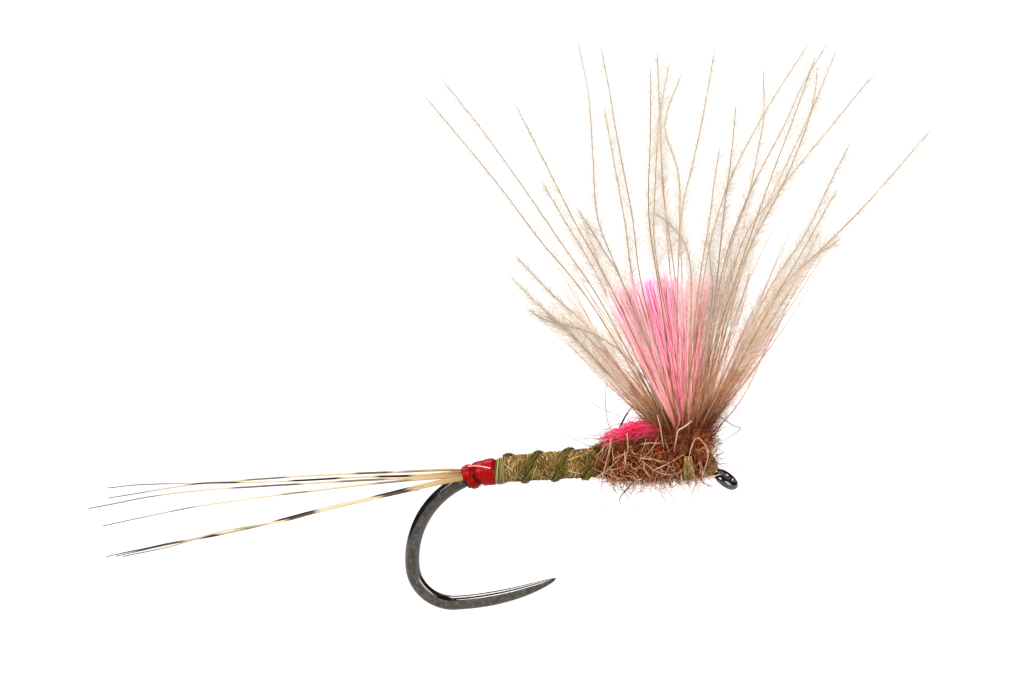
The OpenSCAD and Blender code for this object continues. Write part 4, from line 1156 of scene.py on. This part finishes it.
def make_down():
    for seed, (name, (lean0, lean1, reach, tilt, n)) in enumerate(FANS.items()):
        rng = np.random.default_rng(90 + seed)
        lean = lean0 + (lean1 - lean0) * rng.random(n) ** (0.5 if name in ("near", "far") else 1.0)
        across = tilt * rng.uniform(0.35, 1.25, n) + rng.normal(0, 3.0, n)
        length = reach * rng.uniform(0.45, 1.0, n) ** 0.7
        if name in ("near", "far"):
            length *= 0.42 + 0.58 * np.clip((lean + 12) / 30, 0, 1)  # the middle is thin over the pink post
        stems = wing_stems(rng, lean, across, length, rng.normal(0, 0.3, n))
        stems = wander(rng, stems, 0.35, 0.9, hold=0.1)
        piece = Piece("down_" + name, "down", down_material("down_" + name), ["down_fan_" + name])
        g = np.linspace(0, 1, stems.shape[1])
        tone = 0.3 * rng.random(n)
        piece.strands(stems, (0.028 - 0.017 * g)[None], tone, along=height_share(stems), sides=4)
        per_stem = 200
        fine, _ = barbules(rng, stems, 0.06, 0.99, per_stem, 0.95, (25, 70), lie=0.4, fall=0.3)
        tone = 0.45 + 0.55 * rng.random(len(fine))
        piece.strands(fine, taper(0.0038, 0.0020, 4), tone, along=height_share(fine), sides=2)
        # short fluff low down, where the plume is thick
        m = 44 if name in ("rear", "front") else 30
        lean = rng.uniform(lean0, lean1, m)
        across = tilt * 0.6 + rng.normal(0, 7.0, m)
        length = rng.uniform(1.4, 4.2, m)
        stub = wing_stems(rng, lean, across, length, rng.normal(0, 0.2, m), points=10)
        piece.strands(stub, taper(0.026, 0.008, 10), 0.6 * rng.random(m), along=height_share(stub), sides=4)
        fluff, _ = barbules(rng, stub, 0.25, 0.99, 22, 0.7, (15, 55), lie=0.5, fall=0.2)
        tone = 0.5 + 0.5 * rng.random(len(fluff))
        piece.strands(fluff, taper(0.0055, 0.003, 4), tone, along=height_share(fluff), sides=2)
        piece.write()


def make_long_fibres():
    for seed, (name, rows) in enumerate(LONG_FIBRES.items()):
        rng = np.random.default_rng(110 + seed)
        first = np.array([row[0] for row in rows])
        foot = feet(rng, unit(first - WING_ROOT))
        rise = foot + (first - foot) * 0.35 + [0, 0, 0.15]
        stems = np.array([through([f, r, *row], 56) for f, r, row in zip(foot, rise, rows)])
        stems = wander(rng, stems, 0.05, 1.6, hold=0.3)
        f = Finish("long_down_" + name, 0.5)
        colour = f.ramp(
            f.attribute("along"),
            [(0.0, "A45C34"), (0.08, "B88460"), (0.2, "D2B69A"), (0.5, "DACCBC"), (1.0, "CEC8BE")],
        )
        tones = [(0.0, "A8927A"), (0.45, "CCBCA8"), (0.7, "F4EEE8"), (1.0, "FFFFFF")]
        shade_of = f.ramp(f.attribute("tone"), tones)
        colour = f.mix(colour, shade_of, 1.0, "MULTIPLY")
        node_marks = f.ramp(f.noise(350.0, 3.0), [(0.35, 0.75), (0.6, 1.0)])
        f.base(f.mix(colour, node_marks, 0.3, "MULTIPLY"))
        piece = Piece("long_down_" + name, "long_down", translucent(f, 0.4), ["long_fibres_" + name])
        g = np.linspace(0, 1, stems.shape[1])
        tone = rng.uniform(0.0, 0.45, len(stems))
        piece.strands(stems, (0.034 - 0.020 * g**1.1)[None], tone, sides=6)
        low, count, reach = HAZE[name]
        fine, at = barbules(rng, stems, low, 0.98, count, reach, (28, 75), lie=0.3, fall=0.3)
        tone = 0.3 + 0.7 * rng.random(len(fine))
        piece.strands(fine, taper(0.0031, 0.0015, 4), tone, along=(0.25 + 0.75 * at)[:, None], sides=2)
        piece.write()


def make_stem_butts():
    rng = np.random.default_rng(121)
    piece = Piece("down_butts", "down", down_material("down_butts", 0.2), ["down_stems"])
    n = 160
    a = rng.uniform(0, 2 * np.pi, n)
    r = rng.uniform(0.37, 0.5, n)
    z = np.linspace(0.08, 0.98, 6)
    spread = 1 + 0.25 * np.clip(z - 0.55, 0, 1)
    paths = WING_ROOT + np.stack(
        [
            (r * np.cos(a))[:, None] * spread,
            (r * np.sin(a))[:, None] * spread,
            np.broadcast_to(z, (n, 6)),
        ],
        -1,
    )
    paths = wander(rng, paths, 0.03, 1.0)
    piece.strands(paths, 0.028, rng.random(n), along=0.05, sides=5)
    piece.write()


make_hook()
make_threads()
make_head()
make_tail()
make_tag()
make_tag_strand()
make_abdomen()
make_rib()
make_thorax()
make_guard_hairs()
make_thorax_thread()
yarn = yarn_material()
make_post(yarn)
make_stub(yarn)
make_stem_butts()
make_down()
make_long_fibres()

# ---- floor, light and camera ----
FLOOR_DROP = 42.0
floor_mesh = bpy.data.meshes.new("floor")
half = 3.0
z = -FLOOR_DROP * MM
corners = [(-half, -half, z), (half, -half, z), (half, half, z), (-half, half, z)]
floor_mesh.from_pydata(corners, [], [(0, 1, 2, 3)])
floor = bpy.data.objects.new("floor", floor_mesh)
bpy.context.scene.collection.objects.link(floor)
pale = Finish("pale_floor", 0.9, Emission_Strength=0.35)
pale.bsdf.inputs["Emission Color"].default_value = (1, 1, 1, 1)
pale.base(pale.ramp(pale.noise(4.0), [(0.3, "B4B4B4"), (0.7, "B8B8B8")]))
floor_mesh.materials.append(pale.mat)

world = bpy.data.worlds.new("studio")
bpy.context.scene.world = world
world.use_nodes = True
background = world.node_tree.nodes["Background"]
background.inputs["Color"].default_value = (1, 1, 1, 1)
background.inputs["Strength"].default_value = 0.08

AZIMUTH, ELEVATION, ROLL = (math.radians(v) for v in (8, 18, 5.6))
right = np.array([math.cos(AZIMUTH), math.sin(AZIMUTH), 0])
back = np.array(
    [
        math.sin(AZIMUTH) * math.cos(ELEVATION),
        -math.cos(AZIMUTH) * math.cos(ELEVATION),
        math.sin(ELEVATION),
    ]
)
up = np.cross(back, right)
cam_right = right * math.cos(ROLL) - up * math.sin(ROLL)
cam_up = right * math.sin(ROLL) + up * math.cos(ROLL)
WIDE = 45.06  # what the picture spans, in millimetres
LENS, SENSOR = 240.0, 36.0
aim = -cam_right * 9.416 + cam_up * 6.072
spot = aim + back * (WIDE / SENSOR * LENS)


def place(data, spot, side, high, toward):
    """An object at a spot in metres that looks against toward, with side and high across it."""
    made = bpy.data.objects.new(data.name, data)
    bpy.context.scene.collection.objects.link(made)
    made.matrix_world = Matrix(
        [[side[k], high[k], toward[k], spot[k]] for k in range(3)] + [[0, 0, 0, 1]]
    )
    return made


camera_data = bpy.data.cameras.new("camera")
camera_data.lens, camera_data.sensor_width = LENS, SENSOR
camera_data.clip_start, camera_data.clip_end = 0.01, 10.0
bpy.context.scene.camera = place(camera_data, spot * MM, cam_right, cam_up, back)


LAMP_TARGET = np.array([-9.0, 0, 6.0])  # in millimetres


def lamp(name, spot, width, depth, watts, wide_along=None):
    """A soft light, in metres and watts, aimed at the middle of the fly."""
    data = bpy.data.lights.new(name, "AREA")
    data.shape, data.size, data.size_y, data.energy = "RECTANGLE", width, depth, watts
    toward = unit(np.array(spot) - LAMP_TARGET * MM)
    side = np.cross([0, 0, 1.0], toward) if wide_along is None else np.array(wide_along)
    side = unit(side - (side @ toward) * toward)
    high = np.cross(toward, side)
    return place(data, spot, side, high, toward)


lamp("key", (-0.28, -0.32, 0.42), 0.34, 0.34, 5.3)
lamp("fill", (0.42, -0.30, 0.18), 0.44, 0.44, 3.4)
lamp("back", (0.05, 0.45, 0.30), 0.40, 0.40, 0.3)
lamp("overhead", (-0.16, 0.24, 0.395), 0.36, 0.20, 2.6, (-0.9, 0.1, -0.43))

# light scatters through real down far more often than the few bounces traced here, so the
# wing has a lamp of its own, which nothing else receives
wing_light = lamp("wing_light", (-0.16, -0.30, 0.34), 0.20, 0.20, WING_WATTS)
lit = bpy.data.collections.new("wing_lit")
for name in WING_PIECES:
    lit.objects.link(bpy.data.objects[name])
wing_light.light_linking.receiver_collection = lit

bpy.context.scene.view_settings.view_transform = "Standard"
